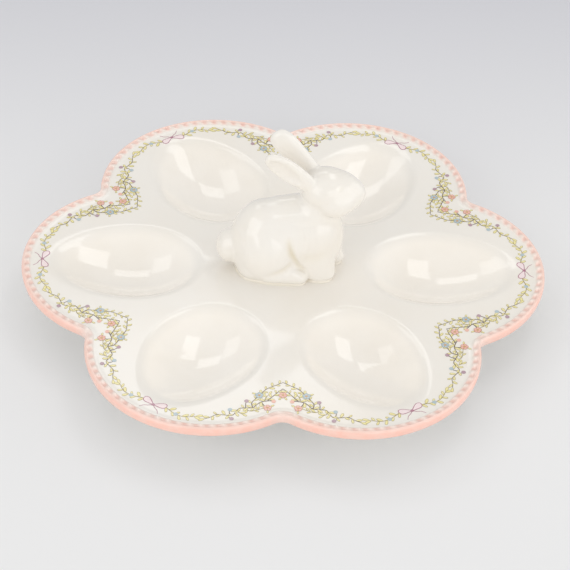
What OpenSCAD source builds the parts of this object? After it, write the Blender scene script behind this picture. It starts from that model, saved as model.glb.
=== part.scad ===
// Serving platter for halved eggs: six lobes, six egg wells and a sitting rabbit at the centre.
// Glazed earthenware. The platter is one casting, the rabbit is five castings luted together with
// slip on a slip bed, and the printed transfers lie on the glaze. All lengths are in millimetres.
// The origin is the centre of the foot ring on the table, +Z is up and the rabbit faces +X.

/* [Platter] */
// Width across two opposite lobe tips
span = 240; // [220:1:280]
// Radius of a lobe's edge
lobe_r = 55; // [50:0.5:60]
// Radius of the fillet between two lobes
notch_r = 6; // [3:0.5:10]
// Height of the flat top above the table
top_h = 22; // [20:0.5:30]
// Thickness of the flange
flange_t = 4; // [3:0.25:6]

/* [Rim] */
// Width of the raised rim
rim_w = 2.6; // [1.8:0.1:4]
// Height of the rim above the flat top
rim_h = 0.9; // [0.4:0.1:1.6]
// Spacing of the scallops along the rim
scallop_pitch = 5; // [4:0.25:8]
// Radius of one scallop
scallop_r = 2.1; // [1.4:0.1:2.4]
// Softening of the hollows between two scallops
scallop_soft = 0.4; // [0.2:0.1:0.6]

/* [Egg wells] */
// Distance of a well's middle from the platter's centre
well_at = 72.5; // [69:0.5:76]
// Length of a well's mouth, along its lobe
well_l = 67; // [58:0.5:70]
// Width of a well's mouth
well_w = 51.5; // [44:0.5:54]
// Depth of a well below the flat top
well_depth = 10; // [8:0.5:12]
// Wall under a well
well_wall = 4; // [3:0.25:5.5]
// How much fuller the inner end is than the outer one
well_egg_share = 0.12; // [0:0.01:0.2]

/* [Foot ring] */
// Radius of the middle of the foot ring
foot_r = 63; // [56:0.5:68]
// Width of the foot ring where it stands
foot_w = 5; // [3:0.25:8]
// Extra width of the foot ring at its root, on each side
foot_taper = 1.5; // [0.5:0.25:3]
// Diameter of the vent hole under the hollow rabbit
vent_d = 3.5; // [2:0.5:6]
// Distance of the vent hole behind the platter's centre
vent_back = 7; // [4:0.5:10]

/* [Rabbit] */
// Length of the rabbit from tail to nose
fig_l = 66; // [56:0.5:68]
// Width of the rabbit across its haunches
fig_w = 32; // [28:0.5:36]
// Height of the rabbit from its base to its ear tips
fig_h = 71; // [60:0.5:85]
// Length of an ear
ear_l = 27; // [22:0.5:32]
// Width of an ear
ear_w = 10.8; // [8:0.2:12]
// Thickness of an ear
ear_t = 6; // [5:0.2:7]
// Wall of the hollow castings
cast_wall = 4; // [3:0.25:5]

/* [Slip and transfers] */
// Thickness of the slip bed under the rabbit
slip_t = 0.8; // [0.4:0.1:1.5]
// How far the slip bed shows around the rabbit's base
slip_w = 0.9; // [0.4:0.1:1.5]
// Thickness of a printed transfer
film_t = 0.12; // [0.08:0.02:0.3]
// Depth of the printed border, from the platter's edge inwards
border_w = 20; // [18:0.5:21]
// Width of a printed stem
stem_w = 0.5; // [0.4:0.05:1]
// Length of a printed leaf
leaf_l = 3; // [2:0.25:5]
// Width of a printed leaf
leaf_w = 1.4; // [0.8:0.1:2.4]
// Width of a printed blossom
blossom_d = 4.2; // [3:0.1:5.5]
// Width of a printed berry
berry_d = 2; // [1.4:0.1:2.6]
// Length of the printed bow across its two loops
bow_l = 11; // [8:0.25:12]

/* [Hidden] */
lobes = 6;
lobe_turn = 360 / lobes;
half_turn = lobe_turn / 2;
lobe_at = span / 2 - lobe_r;
overrun = flange_t;
flange_z = top_h - flange_t;
seam_z = top_h - flange_t / 2;
edge_fn = 72;

// Angle from a lobe's axis at which its edge runs into the notch fillet
fillet_at = lobe_at * cos(half_turn)
    + sqrt(pow(lobe_r + notch_r, 2) - pow(lobe_at * sin(half_turn), 2));
lobe_sweep = atan2(fillet_at * sin(half_turn), fillet_at * cos(half_turn) - lobe_at);
scallop_line_r = lobe_r - rim_w;
scallop_step = scallop_pitch / scallop_line_r * 180 / PI;
scallops_each_side = floor((lobe_sweep - scallop_step / 2) / scallop_step);
scallop_fn = 8;

// A well is a solid of revolution about an axis that lies above the flat top
well_axis = (pow(well_w / 2, 2) - pow(well_depth, 2)) / (2 * well_depth);
well_steps = 20;
well_end_angle = 4;

// Places and radii of the rabbit's forms, as shares of its length, width and height
rump_shares = [-0.132, 0, 0.186, 0.248, 0.45, 0.312];
chest_shares = [0.165, 0, 0.246, 0.24, 0.39, 0.3];
withers_shares = [-0.02, 0, 0.36, 0.2, 0.32, 0.165];
neck_low_shares = [0.195, 0, 0.42, 0.17, 0.32, 0.14];
neck_top_shares = [0.24, 0, 0.555, 0.13, 0.25, 0.11];
haunch_shares = [-0.11, -0.235, 0.16, 0.205, 0.27, 0.22];
hip_shares = [-0.14, -0.15, 0.22, 0.2, 0.28, 0.235];
seat_shares = [-0.215, 0, 0.06, 0.135, 0.42, 0.13];
heel_shares = [-0.09, -0.34, 0.04, 0.09, 0.14, 0.06];
toe_shares = [0.105, -0.36, 0.032, 0.065, 0.125, 0.05];
shoulder_shares = [0.2, -0.17, 0.29, 0.16, 0.235, 0.18];
wrist_shares = [0.218, -0.24, 0.1, 0.132, 0.16, 0.1];
paw_shares = [0.245, -0.26, 0.03, 0.11, 0.15, 0.055];
far_paw_step_shares = [0.075, -0.12];
skull_shares = [0.268, 0, 0.622, 0.172, 0.33, 0.138];
crown_shares = [0.2, 0, 0.665, 0.1, 0.25, 0.08];
brow_shares = [0.37, 0, 0.635, 0.115, 0.25, 0.1];
muzzle_shares = [0.44, 0, 0.59, 0.1, 0.21, 0.1];
cheek_shares = [0.33, -0.17, 0.565, 0.13, 0.19, 0.1];
tail_shares = [-0.377, 0, 0.145, 0.098, 0.235, 0.118];
tuft_shares = [0.25, 0.5];
tufts = 8;

// Luting planes: a point as shares of length and height, and the tilt of the plane's normal
neck_plane_shares = [0.242, 0.558];
neck_plane_tilt = 38;
tail_plane_share = -0.35;
ear_plane_share = 0.16;

// Ears: root as shares of length, width and height, then the backward tilt and the outward lean
ear_right_shares = [0.155, -0.14, 0.69];
ear_right_tilt = 48;
ear_left_shares = [0.18, 0.14, 0.705];
ear_left_tilt = 44;
ear_lean = 7;
// Stations along an ear: place, half width and half thickness as shares of length, width, thickness
ear_right_station_shares = [
    [-0.12, 0.34, 0.42], [0.1, 0.4, 0.46], [0.32, 0.47, 0.48], [0.56, 0.5, 0.46],
    [0.76, 0.44, 0.42], [0.9, 0.3, 0.34], [0.965, 0.17, 0.22]
];
ear_left_station_shares = [
    [-0.12, 0.34, 0.42], [0.1, 0.42, 0.46], [0.32, 0.52, 0.48], [0.56, 0.58, 0.46],
    [0.76, 0.53, 0.42], [0.87, 0.38, 0.34], [0.93, 0.22, 0.22]
];
ear_cup_shares = [
    [0.22, 0.16, 0.2], [0.42, 0.32, 0.3], [0.6, 0.37, 0.32], [0.77, 0.29, 0.27], [0.87, 0.13, 0.16]
];
ear_cup_out_share = 0.48;
ear_lump_share = 0.1;

// Printed border: an angle from the lobe's axis and an inset as a share of the border's depth
vine_shares = [
    [28.5, 0.34], [32, 0.42], [35.7, 0.5], [39.5, 0.47], [43.7, 0.43], [46.5, 0.53], [49, 0.6],
    [52.5, 0.57], [56.3, 0.525], [59.5, 0.57], [62.8, 0.595], [66, 0.55]
];
tendril_shares = [
    [56.3, 0.525], [57.1, 0.65], [60.5, 0.73], [65, 0.79], [69.5, 0.84], [73.4, 0.85], [79, 0.8],
    [83.4, 0.742]
];
// Leaves of a spray: angle, inset share and turn
spray_leaf_shares = [
    [28.5, 0.34, -80], [29.5, 0.36, -15], [31, 0.39, -150], [33.8, 0.46, -35], [35.5, 0.5, -135],
    [40, 0.465, -35], [41.5, 0.45, -130], [46.5, 0.53, -40], [48, 0.58, -140], [51, 0.585, -35],
    [54.5, 0.545, -30], [54, 0.55, -150], [59.5, 0.57, -15], [62, 0.59, 25], [64.5, 0.57, 165],
    [66, 0.55, 60], [67.5, 0.82, 150], [70.5, 0.84, 30], [73.4, 0.85, 110], [77, 0.82, 10], [80, 0.79, 150]
];
spray_berry_shares = [[55.2, 0.76], [43.5, 0.61], [42.8, 0.33], [68.5, 0.46]];
spray_blossom_shares = [[64.8, 0.79], [63, 0.37]];
heart_blossom_share = 0.69;
// Leaves of a bow's sprig: angle, inset share and turn
sprig_leaf_shares = [
    [8, 0.52, 150], [8.5, 0.5, 50], [11.2, 0.45, 145], [11.4, 0.45, 35], [16, 0.38, 140], [16.5, 0.375, 40],
    [19.5, 0.375, 135], [20, 0.38, 45], [23, 0.42, 135], [23.4, 0.43, 60]
];
sprig_vine_shares = [[6, 0.53], [9, 0.49], [12, 0.43], [15, 0.39], [18, 0.37], [21, 0.39], [24, 0.45]];
sprig_berry_share = 0.4;
sprig_berry_angle = 13.9;
bow_inset_share = 0.47;
// Outline of one bow loop and of one ribbon tail, as shares of the bow's length
bow_loop_shares = [
    [0, 0], [0.16, 0.16], [0.33, 0.27], [0.47, 0.24], [0.5, 0.1], [0.41, -0.01], [0.2, -0.03]
];
bow_tail_shares = [[0, 0], [0.14, -0.12], [0.28, -0.19], [0.4, -0.34]];
bow_knot_share = 0.08;
ink_spread = stem_w / 12;
print_fn = 8;
lump_fn = 26;
leaf_turn = 60;

glaze = [0.95, 0.93, 0.89];
slip = [0.93, 0.9, 0.85];
print_green = [0.72, 0.68, 0.4];
print_pink = [0.85, 0.6, 0.68];

// Outline of the platter: the lobes joined, with filleted notches
module outline_2d() {
    offset(r = -notch_r, $fn = edge_fn)
        offset(delta = notch_r) {
            circle(r = lobe_at, $fn = edge_fn);
            for (k = [0:lobes - 1])
                rotate(k * lobe_turn)
                    translate([lobe_at, 0])
                        circle(r = lobe_r, $fn = edge_fn);
        }
}

// The flat top inside the rim, with the scallops standing into it
module flat_2d() {
    offset(delta = scallop_soft)
        difference() {
            offset(delta = -rim_w - scallop_soft)
                outline_2d();
            for (k = [0:lobes - 1])
                rotate(k * lobe_turn)
                    translate([lobe_at, 0])
                        for (s = [-scallops_each_side:scallops_each_side])
                            rotate(s * scallop_step)
                                translate([scallop_line_r, 0])
                                    circle(r = scallop_r, $fn = scallop_fn);
        }
}

function well_half_width(t) = well_w / 2 * sin(t) * (1 - well_egg_share * cos(t));
function well_radius(t) = sqrt(pow(well_axis, 2) + pow(well_half_width(t), 2));
function well_angle(i) = well_end_angle + (180 - 2 * well_end_angle) * i / well_steps;
function well_point(t, grow) = [well_radius(t) + grow, (well_l / 2 + grow) * cos(t)];

// Egg-shaped solid of a well, grown by the wall for its outside
module well(grow) {
    reach = well_l / 2 + grow;
    translate([well_at, 0, top_h + well_axis])
        rotate([0, 90, 0])
            rotate_extrude($fn = edge_fn)
                polygon(concat(
                    [[0, reach]],
                    [for (i = [0:well_steps]) well_point(well_angle(i), grow)],
                    [[0, -reach]]
                ));
}

module around_lobes() {
    for (k = [0:lobes - 1])
        rotate(k * lobe_turn)
            children();
}

module foot_ring() {
    rotate_extrude($fn = edge_fn)
        polygon([
            [foot_r - foot_w / 2, 0], [foot_r + foot_w / 2, 0],
            [foot_r + foot_w / 2 + foot_taper, seam_z], [foot_r - foot_w / 2 - foot_taper, seam_z]
        ]);
}

module platter() {
    color(glaze)
        difference() {
            union() {
                translate([0, 0, flange_z])
                    linear_extrude(flange_t + rim_h)
                        outline_2d();
                intersection() {
                    around_lobes()
                        well(well_wall);
                    cylinder(r = span, h = seam_z, $fn = edge_fn);
                }
                foot_ring();
            }
            translate([0, 0, top_h])
                linear_extrude(rim_h + overrun)
                    flat_2d();
            around_lobes()
                well(0);
            translate([-vent_back, 0, flange_z - overrun])
                cylinder(d = vent_d, h = flange_t + 2 * overrun, $fn = edge_fn);
        }
}

// One rounded form of the rabbit, shrunk by the casting's wall for the hollow inside
module lump(shares, shrink = 0) {
    translate([shares[0] * fig_l, shares[1] * fig_w, shares[2] * fig_h])
        scale([shares[3] * fig_l - shrink, shares[4] * fig_w - shrink, shares[5] * fig_h - shrink])
            sphere(r = 1, $fn = lump_fn);
}

module blend(a, b, shrink = 0) {
    hull() {
        lump(a, shrink);
        lump(b, shrink);
    }
}

module both_sides() {
    children();
    mirror([0, 1, 0])
        children();
}

module foreleg(step_shares) {
    blend(shoulder_shares, wrist_shares);
    hull() {
        lump(wrist_shares);
        translate([step_shares[0] * fig_l, -step_shares[1] * fig_w, 0])
            lump(paw_shares);
    }
}

module body_form() {
    blend(rump_shares, chest_shares);
    blend(rump_shares, seat_shares);
    blend(withers_shares, neck_low_shares);
    blend(chest_shares, neck_low_shares);
    blend(neck_low_shares, neck_top_shares);
    both_sides() {
        blend(haunch_shares, hip_shares);
        blend(heel_shares, toe_shares);
    }
    foreleg([0, 0]);
    mirror([0, 1, 0])
        foreleg(far_paw_step_shares);
}

module head_form() {
    blend(skull_shares, crown_shares);
    blend(skull_shares, brow_shares);
    blend(brow_shares, muzzle_shares);
    both_sides()
        blend(cheek_shares, muzzle_shares);
}

// The hollow that runs from the open base up into the head
module hollow_form() {
    blend(rump_shares, chest_shares, cast_wall);
    blend(chest_shares, neck_low_shares, cast_wall);
    blend(neck_low_shares, neck_top_shares, cast_wall);
    blend(neck_top_shares, skull_shares, cast_wall);
}

// Everything on the normal's side of a plane through a point, tilted forward from +Z
module beyond(point, tilt) {
    reach = fig_l + fig_h;
    translate(point)
        rotate([0, tilt, 0])
            translate([-reach, -reach, 0])
                cube([2 * reach, 2 * reach, reach]);
}

module past_neck() {
    beyond([neck_plane_shares[0] * fig_l, 0, neck_plane_shares[1] * fig_h], neck_plane_tilt);
}

module past_tail() {
    beyond([tail_plane_share * fig_l, 0, 0], -90);
}

module on_platter() {
    translate([0, 0, top_h + slip_t])
        children();
}

// Ear in its own frame: the root at the origin, its length along +Z and its cup facing -Y
module ear_lump(station) {
    translate([0, 0, station[0] * ear_l])
        scale([station[1] * ear_w, station[2] * ear_t, ear_lump_share * ear_l * station[1]])
            sphere(r = 1, $fn = lump_fn);
}

module ear_chain(stations) {
    for (i = [0:len(stations) - 2])
        hull() {
            ear_lump(stations[i]);
            ear_lump(stations[i + 1]);
        }
}

module ear_form(stations) {
    difference() {
        ear_chain(stations);
        translate([0, -ear_cup_out_share * ear_t, 0])
            ear_chain(ear_cup_shares);
    }
}

module past_ear_seat() {
    translate([0, 0, ear_plane_share * ear_l])
        beyond([0, 0, 0], 0);
}

module place_ear(shares, tilt, lean) {
    translate([shares[0] * fig_l, shares[1] * fig_w, shares[2] * fig_h])
        rotate([lean, -tilt, 0])
            children();
}

module place_right_ear() {
    place_ear(ear_right_shares, ear_right_tilt, ear_lean)
        children();
}

module place_left_ear() {
    place_ear(ear_left_shares, ear_left_tilt, -ear_lean)
        mirror([0, 1, 0])
            children();
}

module ear_stub(stations) {
    difference() {
        ear_form(stations);
        past_ear_seat();
    }
}

module ear_blade(stations) {
    intersection() {
        ear_form(stations);
        past_ear_seat();
    }
}

module bunny_body() {
    color(glaze)
        on_platter()
            difference() {
                union() {
                    body_form();
                    head_form();
                }
                hollow_form();
                past_neck();
                past_tail();
                beyond([0, 0, 0], 180);
            }
}

module bunny_head() {
    color(glaze)
        on_platter()
            difference() {
                union() {
                    intersection() {
                        head_form();
                        past_neck();
                    }
                    place_right_ear()
                        ear_stub(ear_right_station_shares);
                    place_left_ear()
                        ear_stub(ear_left_station_shares);
                }
                hollow_form();
            }
}

module bunny_ear_right() {
    color(glaze)
        on_platter()
            place_right_ear()
                ear_blade(ear_right_station_shares);
}

module bunny_ear_left() {
    color(glaze)
        on_platter()
            place_left_ear()
                ear_blade(ear_left_station_shares);
}

// Round tail with a ring of soft tufts, cut flat where it is luted to the rump
module bunny_tail() {
    color(glaze)
        on_platter()
            difference() {
                intersection() {
                    for (i = [0:tufts - 1])
                        hull() {
                            lump(tail_shares);
                            rotate_about_tail(i * 360 / tufts)
                                tail_tuft();
                        }
                    past_tail();
                }
                beyond([0, 0, 0], 180);
            }
}

module rotate_about_tail(turn) {
    translate([tail_shares[0] * fig_l, 0, tail_shares[2] * fig_h])
        rotate([turn, 0, 0])
            children();
}

module tail_tuft() {
    reach = tail_shares[4] * fig_w;
    translate([-tuft_shares[0] * reach, 0, tuft_shares[1] * reach])
        sphere(r = reach / 2, $fn = lump_fn);
}

// Bed of slip on the platter under the casting's own base
module slip_bed() {
    color(slip)
        translate([0, 0, top_h])
            linear_extrude(slip_t)
                offset(r = slip_w)
                    projection(cut = true)
                        translate([0, 0, -slip_t])
                            difference() {
                                body_form();
                                hollow_form();
                                past_tail();
                            }
}

function border_point(angle, inset_share) =
    let (r = lobe_r - inset_share * border_w)
    [lobe_at + r * cos(angle), r * sin(angle)];

function border_path(shares) = [for (s = shares) border_point(s[0], s[1])];

// Strip of even width along a path
function side_step(a, b, half) = half / norm(b - a) * [a[1] - b[1], b[0] - a[0]];
function strip_side(path, half) = [
    for (i = [0:len(path) - 1])
        path[i] + side_step(path[max(i - 1, 0)], path[min(i + 1, len(path) - 1)], half)
];
function reversed(list) = [for (i = [len(list) - 1:-1:0]) list[i]];

module strip_2d(path) {
    polygon(concat(strip_side(path, stem_w / 2), reversed(strip_side(path, -stem_w / 2))));
}

module at_border(angle, inset_share, turn = 0) {
    translate(border_point(angle, inset_share))
        rotate(angle + turn)
            children();
}

// A pointed leaf whose stalk end is at the origin
function leaf_point(t) = [leaf_l * (1 - cos(t)) / 2, leaf_w / 2 * sin(t) * sqrt(abs(sin(t / 2)))];

module leaf_2d() {
    polygon([for (t = [0:leaf_turn:359]) leaf_point(t)]);
}

module blossom_2d() {
    for (petal = [0:4])
        rotate(petal * 72)
            translate([blossom_d / 4, 0])
                circle(d = blossom_d / 2, $fn = print_fn);
}

module leaves_2d(table) {
    for (leaf = table)
        at_border(leaf[0], leaf[1], leaf[2])
            leaf_2d();
}

module berries_2d(table) {
    for (berry = table)
        at_border(berry[0], berry[1])
            circle(d = berry_d, $fn = print_fn);
}

// Half of a spray, along one lobe's edge from the notch
module spray_arm_2d() {
    strip_2d(border_path(vine_shares));
    strip_2d(border_path(tendril_shares));
    leaves_2d(spray_leaf_shares);
    berries_2d(spray_berry_shares);
    for (place = spray_blossom_shares)
        at_border(place[0], place[1])
            blossom_2d();
}

// A spray across a notch, mirrored about it
module spray_2d() {
    rotate(-half_turn)
        spray_arm_2d();
    mirror([0, 1])
        rotate(-half_turn)
            spray_arm_2d();
    translate([fillet_at - notch_r - heart_blossom_share * border_w, 0])
        blossom_2d();
}

module sprig_2d() {
    strip_2d(border_path(sprig_vine_shares));
    leaves_2d(sprig_leaf_shares);
    berries_2d([[sprig_berry_angle, sprig_berry_share]]);
}

// Half of a bow, with its loop and ribbon tail
module bow_half_2d() {
    rotate(90) {
        polygon([for (p = bow_loop_shares) p * bow_l]);
        strip_2d([for (p = bow_tail_shares) p * bow_l]);
    }
}

// A bow with a sprig on each side, at a lobe's tip
module bow_2d() {
    at_border(0, bow_inset_share) {
        bow_half_2d();
        mirror([0, 1])
            bow_half_2d();
        circle(r = bow_knot_share * bow_l, $fn = print_fn);
    }
    sprig_2d();
    mirror([0, 1])
        sprig_2d();
}

module film(turn) {
    rotate(turn)
        translate([0, 0, top_h])
            linear_extrude(film_t)
                offset(delta = ink_spread)
                    children();
}

module decal_spray(k) {
    color(print_green)
        film((k - 1) * lobe_turn + half_turn)
            spray_2d();
}

module decal_bow(k) {
    color(print_pink)
        film((k - 1) * lobe_turn)
            bow_2d();
}

platter();
slip_bed();
bunny_body();
bunny_head();
bunny_ear_right();
bunny_ear_left();
bunny_tail();
for (k = [1:lobes])
    decal_spray(k);
for (k = [1:lobes])
    decal_bow(k);
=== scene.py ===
import math

import bmesh
import bpy
import numpy as np
from bpy.props import FloatProperty, FloatVectorProperty, IntProperty, PointerProperty
from mathutils import Matrix, Quaternion, Vector
from mathutils.kdtree import KDTree


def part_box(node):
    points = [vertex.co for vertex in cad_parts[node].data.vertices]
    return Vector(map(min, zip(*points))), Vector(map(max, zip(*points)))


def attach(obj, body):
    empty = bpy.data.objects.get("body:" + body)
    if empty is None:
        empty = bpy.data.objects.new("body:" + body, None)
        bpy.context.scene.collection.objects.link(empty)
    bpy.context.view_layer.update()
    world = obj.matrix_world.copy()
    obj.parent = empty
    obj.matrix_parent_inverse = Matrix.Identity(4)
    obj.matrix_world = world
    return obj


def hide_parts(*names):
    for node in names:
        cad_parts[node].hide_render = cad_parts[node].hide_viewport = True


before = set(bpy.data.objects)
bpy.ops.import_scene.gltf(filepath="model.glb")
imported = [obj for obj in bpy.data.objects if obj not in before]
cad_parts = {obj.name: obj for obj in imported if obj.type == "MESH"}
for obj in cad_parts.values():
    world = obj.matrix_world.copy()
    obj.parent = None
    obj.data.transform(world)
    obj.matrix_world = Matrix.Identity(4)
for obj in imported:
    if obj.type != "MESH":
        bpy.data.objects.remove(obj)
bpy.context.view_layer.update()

bl_info = {
    "name": "Lobed egg platter",
    "version": (1, 0, 0),
    "blender": (4, 5, 0),
    "location": "View3D > Sidebar > Egg platter",
    "description": "Glazed platter with six egg wells, a sitting rabbit and a printed border",
    "category": "Add Mesh",
}

MM = 0.001
# Keeps a divisor away from zero
TINY = 1e-7
LOBES = 6
LOBE_TURN = 2 * math.pi / LOBES
HALF_LOBE = LOBE_TURN / 2
ROOT = "root"

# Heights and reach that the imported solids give
PLATTER_LOW, PLATTER_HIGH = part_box("platter")
SLIP_LOW, SLIP_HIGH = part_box("slip_bed")
FLAT_Z = SLIP_LOW.z
RIM_Z = PLATTER_HIGH.z
FIGURE_Z = SLIP_HIGH.z


def offset(name, text, default, **limits):
    return FloatProperty(
        name=name, description=text, default=default, unit="LENGTH", precision=5, **limits,
    )


def length(name, text, default):
    return offset(name, text, default, min=0.0)


def amount(name, text, default):
    return FloatProperty(name=name, description=text, default=default, min=0.0)


def share(name, text, default):
    return FloatProperty(name=name, description=text, default=default, min=-1.0, max=1.0, subtype="FACTOR")


def angle(name, text, degrees):
    return FloatProperty(name=name, description=text, default=math.radians(degrees), subtype="ANGLE")


def count(name, text, default):
    return IntProperty(name=name, description=text, default=default, min=1)


def linear(level):
    """Scene-linear value of an 8-bit display level."""
    shown = level / 255
    return shown / 12.92 if shown <= 0.04045 else ((shown + 0.055) / 1.055) ** 2.4


def colour(name, text, red, green, blue):
    return FloatVectorProperty(
        name=name, description=text, size=3, subtype="COLOR", min=0.0, max=1.0,
        default=(linear(red), linear(green), linear(blue)),
    )


class PlatterSizes(bpy.types.PropertyGroup):
    """Sizes of the platter casting"""

    span: length("Span", "Width across two opposite lobe tips", PLATTER_HIGH.x - PLATTER_LOW.x)
    lobe_radius: length("Lobe radius", "Radius of a lobe's edge", 55 * MM)
    notch_radius: length("Notch radius", "Radius of the fillet between two lobes", 6 * MM)
    flange: length("Flange", "Thickness of the flange", 4 * MM)
    crest: length("Crest", "Width of the smooth roll along the edge", 1.3 * MM)
    edge_roll: length("Edge roll", "Height of the rounding at the top of the edge", 2 * MM)
    edge_round: length("Edge round", "Width of the rounding at the top of the edge", 1.2 * MM)
    edge_under: length("Edge under", "Rounding at the bottom of the edge", 1.7 * MM)
    bead_reach: length("Bead reach", "How far the beads of the rim stand in from the edge", 4.1 * MM)
    bead_soft: length("Bead softness", "Width over which a bead's end falls to the flat", 0.8 * MM)
    bead_slant: share("Bead slant", "Lean of a bead along the edge, in beads", 0.3)
    beads: count("Beads", "Beads of the rim on each lobe", 25)
    hollow: share("Hollow", "Depth of the hollow between two beads, in heights of the rim", 0.6)
    well_at: length("Well place", "Distance of a well's middle from the centre", 72.5 * MM)
    well_length: length("Well length", "Length of a well's mouth", 67 * MM)
    well_width: length("Well width", "Width of a well's mouth", 49.5 * MM)
    well_depth: length("Well depth", "Depth of a well below the flat top", 10 * MM)
    well_wall: length("Well wall", "Wall under a well", 4 * MM)
    well_egg: share("Egg shape", "How much fuller the inner end of a well is", 0.12)
    lip: length("Lip", "Softness of a well's lip, as a depth", 2.2 * MM)
    foot_radius: length("Foot radius", "Radius of the middle of the foot ring", 63 * MM)
    foot_width: length("Foot width", "Width of the foot ring where it stands", 5 * MM)
    foot_taper: length("Foot taper", "Extra width at the foot ring's root, on each side", 1.5 * MM)
    vent: length("Vent", "Diameter of the vent hole under the rabbit", 3.5 * MM)
    vent_back: length("Vent place", "Distance of the vent hole behind the centre", 7 * MM)
    columns: count("Columns", "Columns of the mesh around the platter", 600)


class RabbitSizes(bpy.types.PropertyGroup):
    """Sizes of the rabbit figure"""

    length: length("Length", "From tail to nose", 66 * MM)
    width: length("Width", "Across the haunches", 32 * MM)
    height: length("Height", "From the base to the ear tips", 71 * MM)
    ear_length: length("Ear length", "Length of an ear", 27 * MM)
    ear_width: length("Ear width", "Width of an ear", 10.8 * MM)
    ear_thick: length("Ear thickness", "Thickness of an ear", 6 * MM)
    grain: length("Grain", "Cell of the mesh that joins the forms", 0.5 * MM)
    melt: count("Melt", "Smoothing passes that stand for the thick glaze", 8)
    melt_more: count("Melt more", "Further passes on the face and round the tail", 22)
    crease: length("Crease", "Depth of the crease between haunch and foreleg", 1.5 * MM)
    crease_width: length("Crease width", "Half width of a crease", 1.3 * MM)
    eye: length("Eye", "Half width of an eye's shallow dimple", 1.2 * MM)
    bed: length("Bed", "Thickness of the slip under the figure", 0.2 * MM)
    fillet: length("Fillet", "Width of the slip fillet at the base", 0.9 * MM)
    fillet_rise: length("Fillet rise", "Height of the slip fillet above the flat", 0.9 * MM)


class PrintSizes(bpy.types.PropertyGroup):
    """Sizes of the printed border"""

    border: length("Border", "Depth of the border from the edge inwards", 20 * MM)
    stem: length("Stem", "Width of a stem", 0.42 * MM)
    leaf: length("Leaf", "Length of a leaf", 2.9 * MM)
    leaf_step: length("Leaf step", "Distance from one leaf to the next along a stem", 1.75 * MM)
    leaf_width: length("Leaf width", "Width of a leaf", 1.5 * MM)
    blossom: length("Blossom", "Width of a blossom", 3.7 * MM)
    berry: length("Berry", "Width of a berry", 2.0 * MM)
    bow: length("Bow", "Length of a bow across its loops", 11.6 * MM)
    line: length("Line", "Width of a drawn outline", 0.16 * MM)
    film: length("Film", "Thickness of the fired film", 0.06 * MM)
    layer: length("Layer", "Step from one printed colour to the next", 0.03 * MM)
    lap: length("Lap", "Step from one printed shape to the next", 0.0002 * MM)


class Finishes(bpy.types.PropertyGroup):
    """Colours of the glaze, paint, clay and print"""

    glaze: colour("Glaze", "Cream white of the platter", 243, 239, 232)
    # Lighter glaze in the wells: painted light that offsets their shade
    well_glaze_painted_light: colour("Pooled glaze", "Glaze that pools in the wells", 253, 248, 240)
    glaze_warm: colour("Warm glaze", "Where the glaze lies thicker", 241, 233, 220)
    figure: colour("Figure glaze", "White of the rabbit", 242, 238, 231)
    figure_warm: colour("Figure warm", "Where the rabbit's glaze lies thicker", 239, 232, 220)
    # Darker, yellower glaze in the creases: painted shade, with pooled glaze
    crease: colour("Crease", "Glaze that pools in the rabbit's creases", 233, 224, 203)
    # Darker, warmer glaze on the slip fillet: painted contact shade at the figure's foot, with pooled
    # glaze
    slip: colour("Slip", "Glaze over the slip fillet", 238, 231, 216)
    clay: colour("Clay", "Bare clay of the foot ring", 224, 208, 186)
    pink: colour("Pink", "Painted pink of the rim", 252, 199, 182)
    pink_deep: colour("Deep pink", "Pink pooled between the beads", 236, 164, 144)
    stem: colour("Stem", "Printed stems of the sprays", 92, 70, 36)
    twig: colour("Twig", "Printed stems of the sprigs", 160, 144, 84)
    leaf: colour("Leaf", "Printed leaves", 240, 228, 156)
    leaf_line: colour("Leaf outline", "Outline of the leaves", 168, 152, 82)
    coral: colour("Coral", "Printed coral blossoms", 238, 184, 164)
    coral_line: colour("Coral outline", "Outline of the coral blossoms", 188, 108, 88)
    blue: colour("Blue", "Printed blue blossoms", 178, 194, 200)
    blue_line: colour("Blue outline", "Outline of the blue blossoms", 124, 144, 150)
    mauve: colour("Mauve", "Printed berries", 178, 146, 156)
    heart: colour("Heart", "Hearts of the blossoms", 206, 156, 88)
    bow: colour("Bow", "Ribbon of the bows", 246, 226, 226)
    bow_line: colour("Bow outline", "Outline of the bows", 172, 110, 130)


class StageSettings(bpy.types.PropertyGroup):
    """Camera, floor and lights"""

    azimuth: angle("Azimuth", "Turn of the camera about the platter", -1.155)
    elevation: angle("Elevation", "Height of the camera above the horizon", 39.51)
    roll: angle("Roll", "Turn of the camera about its own axis", 2.2)
    distance: length("Distance", "From the rim's centre to the camera", 1052 * MM)
    lens: amount("Lens", "Focal length in millimetres", 144.84)
    aim_x: offset("Aim X", "Where the camera looks, to the right", 0.63 * MM)
    aim_y: offset("Aim Y", "Where the camera looks, to the back", -15.5 * MM)
    floor: colour("Floor", "Pale grey of the floor at the front", 238, 238, 238)
    # The floor's darker grey towards the back is painted shade
    floor_far_painted_shade: colour("Far floor", "Grey of the floor towards the back", 208, 208, 213)
    # Share of the floor's own glow: painted light that lifts the shadows on the floor
    floor_lift: share("Floor lift", "How much the floor that is seen keeps its own shade", 0.28)
    ambient: amount("Ambient", "Strength of the room's light", 0.655)
    softbox: amount("Softbox", "Scale of all softboxes' brightness", 1.0)


class EggPlatterSettings(bpy.types.PropertyGroup):
    """Everything that can be set on the egg platter"""

    platter: PointerProperty(type=PlatterSizes)
    rabbit: PointerProperty(type=RabbitSizes)
    border: PointerProperty(type=PrintSizes)
    finish: PointerProperty(type=Finishes)
    stage: PointerProperty(type=StageSettings)


# Meshes and pieces

def smooth_step(low, high, value):
    part = np.clip((value - low) / (high - low), 0.0, 1.0)
    return part * part * (3 - 2 * part)


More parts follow.
